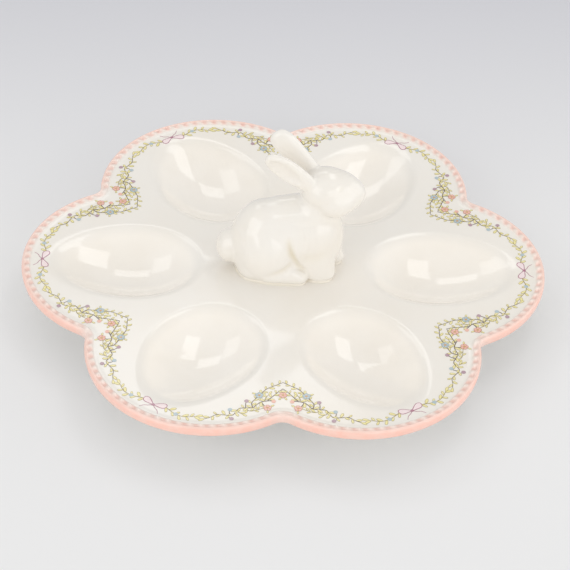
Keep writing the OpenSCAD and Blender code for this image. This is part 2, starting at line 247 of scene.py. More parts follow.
def soft_max(first, second, blend):
    """The larger of two heights, with a rounded change from one to the other."""
    overlap = np.maximum(blend - np.abs(first - second), 0.0)
    return np.maximum(first, second) + overlap ** 2 / (4 * blend)


def mesh_from(bm, name):
    mesh = bpy.data.meshes.new(name)
    bm.to_mesh(mesh)
    bm.free()
    mesh.shade_smooth()
    return mesh


def add_piece(name, mesh, materials, slot, *nodes):
    """Put a finished mesh into the scene as a piece that stands for CAD nodes."""
    piece = bpy.data.objects.new(name, mesh)
    bpy.context.scene.collection.objects.link(piece)
    for material in materials:
        mesh.materials.append(material)
    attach(piece, ROOT)
    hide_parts(*nodes)


def outward_mesh(mesh):
    """Turn every face of a closed mesh outwards."""
    bm = bmesh.new()
    bm.from_mesh(mesh)
    bmesh.ops.recalc_face_normals(bm, faces=bm.faces[:])
    bm.to_mesh(mesh)
    bm.free()
    mesh.shade_smooth()
    return mesh


def vertex_places(mesh):
    places = np.empty(len(mesh.vertices) * 3)
    mesh.vertices.foreach_get("co", places)
    return places.reshape(-1, 3)


def move_vertices(mesh, places):
    mesh.vertices.foreach_set("co", places.ravel())


def add_attribute(mesh, name, values):
    made = mesh.attributes.new(name, "FLOAT", "POINT")
    made.data.foreach_set("value", np.ascontiguousarray(values, dtype=np.float32))


def lengths_along(line):
    """Distance of each point of a line from its start, along the line."""
    return np.concatenate([[0.0], np.cumsum(np.hypot(*np.diff(line, axis=0).T))])


def full_turn(steps):
    return np.linspace(0, 2 * math.pi, steps, endpoint=False)


# Platter

class EdgeLine:
    """The platter's outline at some turns: points, outward normals, bead phase and nearness to a notch."""

    def __init__(self, sizes, turn):
        lobe_at = sizes.span / 2 - sizes.lobe_radius
        notch_at, sweep = notch_place(sizes)
        lobe_half = sizes.lobe_radius * sweep
        notch_half = sizes.notch_radius * (sweep - HALF_LOBE)
        sixth = turn * LOBES + 0.5
        lobe = np.floor(sixth)
        along = (sixth - lobe - 0.5) * 2 * (lobe_half + notch_half)
        side = np.where(along < 0, -1.0, 1.0)
        past = np.maximum(np.abs(along) - lobe_half, 0.0)
        on_lobe = past == 0
        heading = np.where(on_lobe, along / sizes.lobe_radius, side * (sweep - past / sizes.notch_radius))
        radius = np.where(on_lobe, sizes.lobe_radius, -sizes.notch_radius)
        x = np.where(on_lobe, lobe_at, notch_at * math.cos(HALF_LOBE)) + radius * np.cos(heading)
        y = np.where(on_lobe, 0.0, side * notch_at * math.sin(HALF_LOBE)) + radius * np.sin(heading)
        lobe_turn = lobe * LOBE_TURN
        self.x = x * np.cos(lobe_turn) - y * np.sin(lobe_turn)
        self.y = x * np.sin(lobe_turn) + y * np.cos(lobe_turn)
        self.normal_x = np.cos(heading + lobe_turn)
        self.normal_y = np.sin(heading + lobe_turn)
        self.phase = sixth * sizes.beads
        self.from_notch = lobe_half + notch_half - np.abs(along)

    def inset(self, distance):
        return self.x - self.normal_x * distance, self.y - self.normal_y * distance


def notch_place(sizes):
    """Distance of a notch fillet's centre from the platter's centre, and the sweep of a lobe's edge."""
    lobe_at = sizes.span / 2 - sizes.lobe_radius
    aside = lobe_at * math.sin(HALF_LOBE)
    distance = lobe_at * math.cos(HALF_LOBE)
    distance += math.sqrt((sizes.lobe_radius + sizes.notch_radius) ** 2 - aside ** 2)
    sweep = math.atan2(distance * math.sin(HALF_LOBE), distance * math.cos(HALF_LOBE) - lobe_at)
    return distance, sweep


def well_fall(sizes, x, y, grow):
    """How far the nearest well's egg form, grown by a wall, lies below the flat top."""
    around = np.arctan2(y, x)
    folded = around - LOBE_TURN * np.round(around / LOBE_TURN)
    distance = np.hypot(x, y)
    along = (distance * np.cos(folded) - sizes.well_at) / (sizes.well_length / 2 + grow)
    across = distance * np.sin(folded)
    half = sizes.well_width / 2
    axis = (half ** 2 - sizes.well_depth ** 2) / (2 * sizes.well_depth)
    egg = half ** 2 * (1 - along ** 2) * (1 - sizes.well_egg * along) ** 2
    radius = np.sqrt(np.maximum(axis ** 2 + egg, 0.0)) + grow
    return np.sqrt(np.maximum(radius ** 2 - across ** 2, 0.0)) - axis


def top_height(sizes, x, y):
    return FLAT_Z - soft_max(np.zeros_like(x), well_fall(sizes, x, y, 0.0), sizes.lip)


def under_height(sizes, x, y):
    flange = np.full_like(x, sizes.flange)
    return FLAT_Z - soft_max(flange, well_fall(sizes, x, y, sizes.well_wall), sizes.lip)


# How softly the beads meet the crest, in heights of the rim
RIM_BLEND = 0.3


def bead_ridge(sizes, edge, inset):
    """1 along the back of a bead, 0 in the hollow between two."""
    lean = sizes.bead_slant * inset / sizes.bead_reach
    return 0.5 + 0.5 * np.cos(2 * math.pi * (edge.phase + lean))


def rim_height(sizes, edge, inset):
    crest = 1 - smooth_step(sizes.crest, sizes.crest + sizes.bead_soft, inset)
    end = 1 - smooth_step(sizes.bead_reach - sizes.bead_soft, sizes.bead_reach, inset)
    bead = (1 - sizes.hollow * (1 - bead_ridge(sizes, edge, inset))) * end
    return (RIM_Z - FLAT_Z) * soft_max(np.full_like(bead, crest), bead, RIM_BLEND)


# Loops on each part of the platter's skin
CENTRE_LOOPS = 6
TOP_LOOPS = 54
RIM_LOOPS = 13
ROLL_LOOPS = 6
UNDER_LOOPS = 5
FLANGE_LOOPS = 16
RECESS_LOOPS = 14
VENT_RISE_SHARES = (0.1, 0.5, 0.9)
# Share of the way from the vent to the rim that has few loops, under the rabbit
CENTRE_SHARE = 0.28
# Where the loops of the rim start, in from the edge
RIM_START = 5.3 * MM
# Roundings at the vent's mouths and at the foot ring's root
VENT_ROUND = 0.4 * MM
ROOT_ROUND = 1.2 * MM
# Draft and height of the rounding below the edge, as shares of its width
UNDER_DRAFT_SHARE = 1.1
UNDER_RISE_SHARE = 0.75
# Foot ring from its root down to where it stands: share of the taper, further distance out, share of
# the underside's height and height above the table
FOOT_PROFILE = [
    (1, 0.3 * MM, 0.95, 0.0), (1, 0.0, 0.82, 0.0), (0, 0.4 * MM, 0.3, 0.0),
    (0, 0.0, 0.0, 0.7 * MM), (0, -0.25 * MM, 0.0, 0.18 * MM), (0, -0.8 * MM, 0.0, 0.0),
]


class PlatterRows:
    """The loops of the platter's skin, in order: top, rim, edge, underside, foot ring, recess and vent."""

    def __init__(self, sizes):
        self.sizes = sizes
        self.rows = []
        self.fine = set()
        self.add_top()
        self.add_rim()
        self.add_edge()
        self.add_underside()
        self.add_foot()
        self.add_recess()

    def add(self, method, *values, fine=False):
        if fine:
            self.fine.add(len(self.rows))
        self.rows.append((method, values))

    def add_top(self):
        for step in np.linspace(0.0, CENTRE_SHARE, CENTRE_LOOPS, endpoint=False):
            self.add(self.on_top, step)
        for step in np.linspace(CENTRE_SHARE, 1.0, TOP_LOOPS):
            self.add(self.on_top, step)

    def add_rim(self):
        for inset in np.linspace(RIM_START, self.sizes.edge_round, RIM_LOOPS)[1:]:
            self.add(self.on_rim, inset, fine=True)

    def add_edge(self):
        sizes = self.sizes
        for turn in np.linspace(0.0, math.pi / 2, ROLL_LOOPS)[1:]:
            inset = sizes.edge_round * (1 - math.sin(turn))
            height = RIM_Z - sizes.edge_roll * (1 - math.cos(turn))
            self.add(self.on_edge, inset, height, fine=True)
        bottom = FLAT_Z - sizes.flange
        for turn in np.linspace(0.0, math.pi / 2, UNDER_LOOPS):
            inset = sizes.edge_under * (UNDER_DRAFT_SHARE - math.cos(turn))
            height = bottom + UNDER_RISE_SHARE * sizes.edge_under * (1 - math.sin(turn))
            self.add(self.on_edge, inset, height, fine=True)

    def add_underside(self):
        for step in np.linspace(0.0, 1.0, FLANGE_LOOPS):
            self.add(self.below_flange, step)

    def add_foot(self):
        sizes = self.sizes
        for side, profile in ((1, FOOT_PROFILE), (-1, FOOT_PROFILE[::-1])):
            for taper, further, rise, lift in profile:
                out = sizes.foot_width / 2 + taper * sizes.foot_taper + further
                self.add(self.on_foot, sizes.foot_radius + side * out, rise, lift)

    def add_recess(self):
        for step in np.linspace(0.0, 1.0, RECESS_LOOPS):
            self.add(self.in_recess, step)
        for rise in VENT_RISE_SHARES:
            self.add(self.in_vent, rise)

    def aim(self, edge):
        """Direction from the vent to the rim's start on each column, and how far that is."""
        x, y = edge.inset(RIM_START)
        x = x + self.sizes.vent_back
        reach = np.hypot(x, y)
        return x / reach, y / reach, reach

    def along(self, edge, distance):
        way_x, way_y, _ = self.aim(edge)
        return distance * way_x - self.sizes.vent_back, distance * way_y

    def between(self, edge, start, end, step):
        return self.along(edge, start + (end - start) * step)

    def to_circle(self, edge, radius):
        """Distance from the vent to a circle about the platter's centre."""
        back = -self.sizes.vent_back * self.aim(edge)[0]
        return -back + np.sqrt(back ** 2 - self.sizes.vent_back ** 2 + radius ** 2)

    def foot_root(self, edge, side):
        sizes = self.sizes
        out = sizes.foot_width / 2 + sizes.foot_taper + ROOT_ROUND
        return self.to_circle(edge, sizes.foot_radius + side * out)

    def on_top(self, edge, step):
        x, y = self.between(edge, self.sizes.vent / 2 + VENT_ROUND, self.aim(edge)[2], step)
        return x, y, top_height(self.sizes, x, y)

    def on_rim(self, edge, inset):
        x, y = edge.inset(inset)
        return x, y, FLAT_Z + rim_height(self.sizes, edge, inset)

    def on_edge(self, edge, inset, height):
        x, y = edge.inset(inset)
        return x, y, np.full_like(x, height)

    def below_flange(self, edge, step):
        outer = self.aim(edge)[2] + RIM_START - 2 * self.sizes.edge_under
        x, y = self.between(edge, outer, self.foot_root(edge, 1), step)
        return x, y, under_height(self.sizes, x, y)

    def on_foot(self, edge, radius, rise, lift):
        x, y = self.along(edge, self.to_circle(edge, radius))
        return x, y, rise * under_height(self.sizes, x, y) + lift

    def in_recess(self, edge, step):
        x, y = self.between(edge, self.foot_root(edge, -1), self.sizes.vent / 2 + VENT_ROUND, step)
        return x, y, under_height(self.sizes, x, y)

    def in_vent(self, edge, rise):
        x, y = self.along(edge, self.sizes.vent / 2)
        low = under_height(self.sizes, x, y)
        return x, y, low + (FLAT_Z - low) * rise


# Radius of a ring of loops before its rows are put in place, in radii of its section
RING_RADIUS = 3.0


def ring_of_loops(rows, columns, fine):
    """A closed ring of quads with one loop per row; the fine rows have twice the columns."""
    bm = bmesh.new()
    row_layer = bm.verts.layers.int.new("row")
    upright = Matrix.Translation((RING_RADIUS, 0, 0)) @ Matrix.Rotation(math.pi / 2, 4, "X")
    loop = bmesh.ops.create_circle(bm, segments=rows, radius=1.0, matrix=upright)["verts"]
    for row, vert in enumerate(loop):
        vert[row_layer] = row
    bmesh.ops.spin(
        bm, geom=bm.verts[:] + bm.edges[:], cent=(0, 0, 0), axis=(0, 0, 1),
        angle=2 * math.pi, steps=columns, use_merge=True,
    )
    split = []
    for edge in bm.edges:
        first, second = (vert[row_layer] for vert in edge.verts)
        if first == second and first in fine:
            split.append(edge)
    bmesh.ops.subdivide_edges(bm, edges=split, cuts=1)
    return bm


def take_rows(mesh):
    """Row of each vertex in a ring of loops, taken off its mesh."""
    rows = np.empty(len(mesh.vertices), dtype=np.int32)
    mesh.attributes["row"].data.foreach_get("value", rows)
    mesh.attributes.remove(mesh.attributes["row"])
    return rows


# How thin the paint is worn on the crest, and how much thinner on the beads and in their hollows
WORN_CREST = 0.3
WORN_BEAD = 0.48
WORN_HOLLOW = 0.02
# Where the wear starts, in from the edge
WORN_START = 0.8 * MM
# Where the paint starts to fade before the beads' inner end, and how far past it the paint ends
PAINT_FADE = 1.1 * MM
PAINT_PAST = 0.5 * MM
# Over what width the paint starts to pool past the crest, and stops before the beads' inner end
POOL_START = 0.8 * MM
POOL_END = 0.9 * MM
# Depths below the flat top between which the paint ends on the outside of the edge
EDGE_FADE = (3.0 * MM, 4.1 * MM)
# Share of the paint that is wiped off in a notch, and how far from it
NOTCH_WIPE = 0.35
NOTCH_WIPE_REACH = 5 * MM
# Depths below the flat top between which a well's glaze turns lighter, which is painted light against the
# wells' shade, and turns smoother, as glaze that pools
WELL_POOL_AND_LIGHT_DEPTHS = (0.3 * MM, 3.2 * MM)
# Height above the table up to which the foot ring is bare
BARE_HEIGHT = 0.5 * MM
MASKS = ("paint", "pool", "bare", "thick")


def paint_masks(sizes, edge, method, values):
    """Paint, pooled paint and bare clay on one loop of the platter's skin."""
    nothing = np.zeros_like(edge.x)
    if method == "on_rim":
        inset = values[0]
        reach = sizes.bead_reach
        paint = nothing + 1 - smooth_step(reach - PAINT_FADE, reach + PAINT_PAST, inset)
        ridge = bead_ridge(sizes, edge, inset)
        window = smooth_step(sizes.crest, sizes.crest + POOL_START, inset)
        window *= 1 - smooth_step(reach - POOL_END, reach, inset)
        worn = smooth_step(WORN_START, reach - sizes.bead_soft, inset)
        thin = WORN_CREST + worn * (WORN_HOLLOW + (WORN_BEAD - WORN_HOLLOW) * ridge)
        return paint * (1 - thin), (1 - ridge) * window, nothing
    if method == "on_edge":
        drop = FLAT_Z - values[1]
        crest = WORN_CREST * (1 - smooth_step(FLAT_Z - RIM_Z, 0.0, drop))
        return nothing + 1 - crest - smooth_step(*EDGE_FADE, drop), nothing, nothing
    if method == "on_foot":
        rise, lift = values[1:]
        return nothing, nothing, nothing + float(rise == 0.0 and lift < BARE_HEIGHT)
    return nothing, nothing, nothing


def shape_platter(sizes):
    """Mesh of the platter with its paint masks."""
    plan = PlatterRows(sizes)
    mesh = mesh_from(ring_of_loops(len(plan.rows), sizes.columns, plan.fine), "platter_skin")
    places = vertex_places(mesh)
    row = take_rows(mesh)
    turn = np.arctan2(places[:, 1], places[:, 0]) / (2 * math.pi)
    masks = np.zeros((len(MASKS), len(places)))
    for index, (method, values) in enumerate(plan.rows):
        chosen = row == index
        edge = EdgeLine(sizes, turn[chosen])
        places[chosen] = np.stack(method(edge, *values), axis=-1)
        fade = 1 - NOTCH_WIPE * np.exp(-(edge.from_notch / NOTCH_WIPE_REACH) ** 2)
        paint, pool, bare = paint_masks(sizes, edge, method.__name__, values)
        on_top = method.__name__ == "on_top"
        # In the wells: mask of the lighter glaze, which is painted light, and of the smoother pooled glaze
        thick = on_top * smooth_step(*WELL_POOL_AND_LIGHT_DEPTHS, FLAT_Z - places[chosen, 2])
        masks[:, chosen] = paint * fade, pool * fade, bare, thick
    move_vertices(mesh, places)
    for name, values in zip(MASKS, masks):
        add_attribute(mesh, name, values)
    return outward_mesh(mesh)


# Rabbit

# Forms as shares of length, width and height: a place, then three radii
FORM_SHARES = {
    "rump": (-0.132, 0, 0.186, 0.248, 0.45, 0.312),
    "chest": (0.165, 0, 0.246, 0.24, 0.39, 0.3),
    "withers": (-0.02, 0, 0.36, 0.2, 0.32, 0.165),
    "neck_low": (0.195, 0, 0.42, 0.17, 0.32, 0.14),
    "neck_top": (0.24, 0, 0.555, 0.13, 0.25, 0.11),
    "haunch": (-0.11, -0.235, 0.16, 0.205, 0.27, 0.22),
    "hip": (-0.14, -0.15, 0.22, 0.2, 0.28, 0.235),
    "seat": (-0.215, 0, 0.06, 0.135, 0.42, 0.13),
    "heel": (-0.09, -0.34, 0.04, 0.09, 0.14, 0.06),
    "toe": (0.105, -0.36, 0.032, 0.065, 0.125, 0.05),
    "knuckle": (0.05, -0.355, 0.062, 0.058, 0.12, 0.05),
    "shoulder": (0.2, -0.17, 0.29, 0.16, 0.235, 0.18),
    "wrist": (0.218, -0.24, 0.1, 0.132, 0.16, 0.1),
    "paw": (0.245, -0.26, 0.03, 0.11, 0.15, 0.055),
    "far_wrist": (0.285, -0.16, 0.12, 0.1, 0.15, 0.1),
    "far_paw": (0.32, -0.14, 0.03, 0.1, 0.15, 0.055),
    "skull": (0.268, 0, 0.622, 0.172, 0.33, 0.138),
    "crown": (0.2, 0, 0.665, 0.1, 0.25, 0.08),
    "brow": (0.37, 0, 0.635, 0.115, 0.25, 0.1),
    "muzzle": (0.44, 0, 0.59, 0.1, 0.21, 0.1),
    "cheek": (0.33, -0.17, 0.565, 0.13, 0.19, 0.1),
    "tail": (-0.377, 0, 0.145, 0.098, 0.235, 0.118),
}
MIDDLE_LINKS = [
    ("rump", "chest"), ("rump", "seat"), ("withers", "neck_low"), ("chest", "neck_low"),
    ("neck_low", "neck_top"), ("neck_top", "skull"), ("skull", "crown"), ("skull", "brow"),
    ("brow", "muzzle"), ("tail", "tail"),
]
SIDE_LINKS = [
    ("haunch", "hip"), ("heel", "toe"), ("toe", "knuckle"), ("shoulder", "wrist"), ("cheek", "muzzle"),
]
NEAR_LINKS = [("wrist", "paw")]
FAR_LINKS = [("shoulder", "far_wrist"), ("far_wrist", "far_paw")]

# Luting planes: a point as shares of length and height, with the tilt of the plane's normal
NECK_PLANE_SHARES = (0.242, 0.558)
NECK_PLANE_TILT = math.radians(38)
TAIL_PLANE_SHARE = -0.35
EAR_PLANE_SHARE = 0.16

# Ears: root as shares of length, width and height, then the backward tilt and the outward lean
EAR_NEAR_SHARES = (0.155, -0.14, 0.69)
EAR_NEAR_TILT = math.radians(48)
EAR_FAR_SHARES = (0.18, 0.14, 0.705)
EAR_FAR_TILT = math.radians(44)
EAR_LEAN = math.radians(7)
# Stations along an ear: place, half width and half thickness, as shares of length, width and thickness
EAR_NEAR_STATION_SHARES = [
    (-0.15, 0.0, 0.0), (-0.12, 0.34, 0.42), (0.1, 0.4, 0.46), (0.32, 0.47, 0.48), (0.56, 0.5, 0.46),
    (0.76, 0.44, 0.42), (0.9, 0.32, 0.34), (0.965, 0.19, 0.22), (0.99, 0.0, 0.0),
]
EAR_FAR_STATION_SHARES = [
    (-0.15, 0.0, 0.0), (-0.12, 0.32, 0.36), (0.1, 0.38, 0.4), (0.32, 0.46, 0.42), (0.56, 0.53, 0.42),
    (0.76, 0.53, 0.4), (0.89, 0.44, 0.34), (0.95, 0.28, 0.22), (0.975, 0.0, 0.0),
]
# Cup of an ear: place along it and half width
EAR_CUP_SHARES = [
    (0.14, 0.0), (0.3, 0.26), (0.45, 0.35), (0.6, 0.39), (0.77, 0.32), (0.9, 0.14), (0.95, 0.0),
]
EAR_CUP_DEPTH_SHARE = 0.38
EAR_CUP_OFFSET_SHARE = 0.07

# Creases on each side: depth and width as shares, then points as shares of length and height
CREASE_SHARES = [
    (1.0, 1.0, [(0.025, 0.33), (0.035, 0.27), (0.048, 0.225), (0.068, 0.18), (0.1, 0.12), (0.165, 0.04)]),
    (0.4, 1.1, [(-0.1, 0.075), (-0.02, 0.1), (0.03, 0.13), (0.06, 0.17)]),
    (0.3, 2.2, [(0.08, 0.19), (0.15, 0.185), (0.22, 0.2), (0.29, 0.235)]),
]
# Parts that the glaze rounds off more: behind the tail's share of length, and beyond the face's shares of
# length and height
SOFT_TAIL_SHARE = -0.27
SOFT_FACE_SHARES = (0.22, 0.5)
EYE_SHARES = (0.36, 0.692)
EYE_DEPTH_SHARE = 0.25
# Square of the ratio between the length and the height of an eye's dimple
EYE_FLATTENING = 1.6
# How far a crease runs past its end points, in spans between points
CREASE_RUN_OUT = 0.35
# How far the surface has to face sideways for a crease to start and to be full
CREASE_FACING = (0.3, 0.7)
# How far a vertex moves in one smoothing pass, and the passes that follow the creases
MELT_FACTOR = 0.5
MELT_LAST = 2
# Subdivisions of a ball, and the mesh of an ear
BALL_DETAIL = 4
EAR_COLUMNS = 48
EAR_ROWS = 64
# Half width from which an ear's cup has its full depth
EAR_CUP_FULL_SHARE = 0.3
# Vertices of the whole figure that give a cut piece's normal, and corners past which a face is a cut
NORMAL_NEIGHBOURS = 3
SKIN_CORNERS = 8
# Pieces of the rabbit: the CAD node and the planes that cut it, each with the side that is kept and the
# half of the figure that is cut, 0 for both
RABBIT_CUTS = {
    "rabbit_body": ("bunny_body", [("neck", -1, 0), ("tail", -1, 0)]),
    "rabbit_head": ("bunny_head", [("neck", 1, 0), ("near", -1, -1), ("far", -1, 1)]),
    "rabbit_ear_near": ("bunny_ear_right", [("neck", 1, 0), ("near", 1, 0), ("middle", -1, 0)]),
    "rabbit_ear_far": ("bunny_ear_left", [("neck", 1, 0), ("far", 1, 0), ("middle", 1, 0)]),
    "rabbit_tail": ("bunny_tail", [("tail", 1, 0)]),
}


def form_ball(sizes, name, side):
    """Matrix that makes a unit ball into one of the rabbit's forms, on its near or far side."""
    x, y, z, radius_x, radius_y, radius_z = FORM_SHARES[name]
    place = Vector((x * sizes.length, side * y * sizes.width, z * sizes.height + FIGURE_Z))
    radii = (radius_x * sizes.length, radius_y * sizes.width, radius_z * sizes.height, 1.0)
    return Matrix.Translation(place) @ Matrix.Diagonal(radii)


def add_part(bm, part, name):
    """Add a closed part to a mesh, with its faces turned outwards."""
    bmesh.ops.recalc_face_normals(part, faces=part.faces[:])
    mesh = mesh_from(part, name)
    bm.from_mesh(mesh)
    bpy.data.meshes.remove(mesh)


def add_skin(bm, balls):
    """Add the tight skin round some balls to a mesh."""
    part = bmesh.new()
    for ball in balls:
        bmesh.ops.create_icosphere(part, subdivisions=BALL_DETAIL, radius=1.0, matrix=ball)
    bmesh.ops.delete(part, geom=part.edges[:], context="EDGES_FACES")
    hull = bmesh.ops.convex_hull(part, input=part.verts[:])
    inside = [item for item in hull["geom_interior"] if isinstance(item, bmesh.types.BMVert)]
    bmesh.ops.delete(part, geom=inside, context="VERTS")
    add_part(bm, part, "rabbit_form")


def ear_seat(sizes, near):
    """Frame of an ear: its root at the origin, its length along +Z and its cup facing -Y."""
    x, y, z = EAR_NEAR_SHARES if near else EAR_FAR_SHARES
    place = Vector((x * sizes.length, y * sizes.width, z * sizes.height + FIGURE_Z))
    tilt = EAR_NEAR_TILT if near else EAR_FAR_TILT
    lean = EAR_LEAN if near else -EAR_LEAN
    flip = Matrix.Diagonal((1, 1 if near else -1, 1, 1))
    turn = Matrix.Rotation(-tilt, 4, "Y") @ Matrix.Rotation(lean, 4, "X")
    return Matrix.Translation(place) @ turn @ flip


def add_ear(bm, sizes, near):
    """Add an ear, drawn out of a ball and pressed in on its cupped side."""
    places, widths, depths = zip(*(EAR_NEAR_STATION_SHARES if near else EAR_FAR_STATION_SHARES))
    cup_places, cup_widths = zip(*EAR_CUP_SHARES)
    seat = ear_seat(sizes, near)
    part = bmesh.new()
    bmesh.ops.create_uvsphere(part, u_segments=EAR_COLUMNS, v_segments=EAR_ROWS, radius=1.0)
    for vert in part.verts:
        place = places[0] + (places[-1] - places[0]) * (vert.co.z + 1) / 2
        around = max(math.hypot(vert.co.x, vert.co.y), TINY)
        x = vert.co.x / around * np.interp(place, places, widths) * sizes.ear_width
        y = vert.co.y / around * np.interp(place, places, depths) * sizes.ear_thick
        cup = np.interp(place, cup_places, cup_widths)
        if y < 0 and cup > 0:
            inside = x / sizes.ear_width + EAR_CUP_OFFSET_SHARE
            open_part = max(0.0, 1 - (inside / cup) ** 2)
            depth = EAR_CUP_DEPTH_SHARE * sizes.ear_thick * open_part
            y += depth * min(1.0, cup / EAR_CUP_FULL_SHARE)
        vert.co = seat @ Vector((x, y, place * sizes.ear_length))
    add_part(bm, part, "rabbit_ear")


def joined_skin(mesh, cell):
    """One closed skin round overlapping shells."""
    holder = bpy.data.objects.new("rabbit_forms", mesh)
    bpy.context.scene.collection.objects.link(holder)
    remesh = holder.modifiers.new("join", "REMESH")
    remesh.mode = "VOXEL"
    remesh.voxel_size = cell
    shown = holder.evaluated_get(bpy.context.evaluated_depsgraph_get())
    skin = bpy.data.meshes.new_from_object(shown)
    bpy.data.objects.remove(holder)
    bpy.data.meshes.remove(mesh)
    return skin


def groove(points, x, z, width):
    """1 along the middle of a line of points, falling to 0 beside it and towards its ends."""
    depth = np.zeros_like(x)
    spans = len(points) - 1
    for index in range(spans):
        start, end = points[index:index + 2]
        span = end - start
        along = ((x - start[0]) * span[0] + (z - start[1]) * span[1]) / (span @ span)
        along = np.clip(along, 0.0, 1.0)
        away = np.hypot(x - start[0] - along * span[0], z - start[1] - along * span[1])
        taper = np.sin(math.pi * (index + along + CREASE_RUN_OUT) / (spans + 2 * CREASE_RUN_OUT))
        depth = np.maximum(depth, taper * np.exp(-(away / width) ** 2))
    return depth


def press_creases(mesh, sizes):
    """Press the creases of the legs and the eyes' dimples into the figure."""
    places = vertex_places(mesh)
    normals = np.empty(len(places) * 3)
    mesh.vertex_normals.foreach_get("vector", normals)
    normals = normals.reshape(-1, 3)
    x = places[:, 0]
    z = places[:, 2] - FIGURE_Z
    scale = np.array([sizes.length, sizes.height])
    depth = np.zeros_like(x)
    for part, spread, shares in CREASE_SHARES:
        line = np.array(shares) * scale
        depth = np.maximum(depth, part * sizes.crease * groove(line, x, z, spread * sizes.crease_width))
    eye_x, eye_z = np.array(EYE_SHARES) * scale
    dimple = np.exp(-((x - eye_x) ** 2 + EYE_FLATTENING * (z - eye_z) ** 2) / sizes.eye ** 2)
    depth = np.maximum(depth, EYE_DEPTH_SHARE * sizes.eye * dimple)
    depth *= smooth_step(*CREASE_FACING, np.abs(normals[:, 1]))
    move_vertices(mesh, places - normals * depth[:, None])
    # The depth of each press also paints the glaze darker there: painted shade in the creases and dimples,
    # with pooled glaze
    add_attribute(mesh, "thick", depth / sizes.crease)


def melted(mesh, passes, chosen=None):
    """Smooth a mesh, or the part of it that a test chooses, as thick glaze does."""
    bm = bmesh.new()
    bm.from_mesh(mesh)
    verts = [v for v in bm.verts if chosen is None or chosen(v.co)]
    for _ in range(passes):
        bmesh.ops.smooth_vert(
            bm, verts=verts, factor=MELT_FACTOR, use_axis_x=True, use_axis_y=True, use_axis_z=True,
        )
    bm.to_mesh(mesh)
    bm.free()


def shape_rabbit(sizes):
    """The whole figure as one smooth closed mesh, standing on its base."""
    bm = bmesh.new()
    for first, second in MIDDLE_LINKS:
        add_skin(bm, [form_ball(sizes, first, 1), form_ball(sizes, second, 1)])
    for side, links in ((1, SIDE_LINKS + NEAR_LINKS), (-1, SIDE_LINKS + FAR_LINKS)):
        for first, second in links:
            add_skin(bm, [form_ball(sizes, first, side), form_ball(sizes, second, side)])
    add_ear(bm, sizes, True)
    add_ear(bm, sizes, False)
    skin = joined_skin(mesh_from(bm, "rabbit_forms"), sizes.grain)
    melted(skin, sizes.melt)

    def soft_part(place):
        face = place.x > SOFT_FACE_SHARES[0] * sizes.length
        face = face and place.z > SOFT_FACE_SHARES[1] * sizes.height + FIGURE_Z
        return face or place.x < SOFT_TAIL_SHARE * sizes.length

    melted(skin, sizes.melt_more, soft_part)
    press_creases(skin, sizes)
    melted(skin, MELT_LAST)
    bm = bmesh.new()
    bm.from_mesh(skin)
    bpy.data.meshes.remove(skin)
    cut(bm, (0, 0, FLAT_Z + sizes.bed), (0, 0, 1))
    return mesh_from(bm, "rabbit_figure")


def cut(bm, point, normal, side=0):
    """Keep what lies beyond a plane, on one side of the rabbit or on both, and close the opening."""
    def chosen(item):
        verts = item.verts if hasattr(item, "verts") else [item]
        return side == 0 or all(v.co.y * side > 0 for v in verts)

    geometry = [item for item in bm.verts[:] + bm.edges[:] + bm.faces[:] if chosen(item)]
    bmesh.ops.bisect_plane(bm, geom=geometry, plane_co=point, plane_no=normal, clear_inner=True)
    open_edges = [e for e in bm.edges if e.is_boundary]
    bmesh.ops.holes_fill(bm, edges=open_edges, sides=0)


def rabbit_planes(sizes):
    """Luting planes of the figure, and the plane between its halves, as points and normals."""
    along, up = NECK_PLANE_SHARES
    neck = Vector((along * sizes.length, 0, up * sizes.height + FIGURE_Z))
    neck_way = Vector((math.sin(NECK_PLANE_TILT), 0, math.cos(NECK_PLANE_TILT)))
    tail = Vector((TAIL_PLANE_SHARE * sizes.length, 0, 0))
    planes = {
        "neck": (neck, neck_way),
        "tail": (tail, Vector((-1, 0, 0))),
        "middle": (Vector((0, 0, 0)), Vector((0, 1, 0))),
    }
    for name, near in (("near", True), ("far", False)):
        seat = ear_seat(sizes, near)
        way = (seat.to_3x3() @ Vector((0, 0, 1))).normalized()
        planes[name] = (seat @ Vector((0, 0, EAR_PLANE_SHARE * sizes.ear_length)), way)
    return planes


def keep_figure_normals(mesh, figure):
    """Give a cut piece the normals of the whole figure, so that its seams don't show."""
    tree = KDTree(len(figure.vertices))
    for vert in figure.vertices:
        tree.insert(vert.co, vert.index)
    tree.balance()
    whole = [v.vector for v in figure.vertex_normals]
    smooth = []
    for vert in mesh.vertices:
        total = Vector()
        for _, index, distance in tree.find_n(vert.co, NORMAL_NEIGHBOURS):
            total += whole[index] / (distance + TINY)
        smooth.append(total.normalized())
    normals = [Vector()] * len(mesh.loops)
    for face in mesh.polygons:
        is_cut = len(face.vertices) > SKIN_CORNERS
        for loop in face.loop_indices:
            normals[loop] = face.normal if is_cut else smooth[mesh.loops[loop].vertex_index]
    mesh.normals_split_custom_set(normals)


# Slip fillet: share of the fillet's width outwards, and share of its rise
SLIP_PROFILE_SHARES = [
    (-0.3, 1.0), (0.0, 0.8), (0.12, 0.58), (0.28, 0.34), (0.5, 0.15), (0.75, 0.04), (1.0, 0.0),
    (-1.2, 0.0), (-1.2, 1.0),
]
SLIP_COLUMNS = 320
# Smoothing passes on the fillet's outward directions, and on its outer edge
SLIP_TURN_PASSES = 6
SLIP_EDGE_PASSES = 40


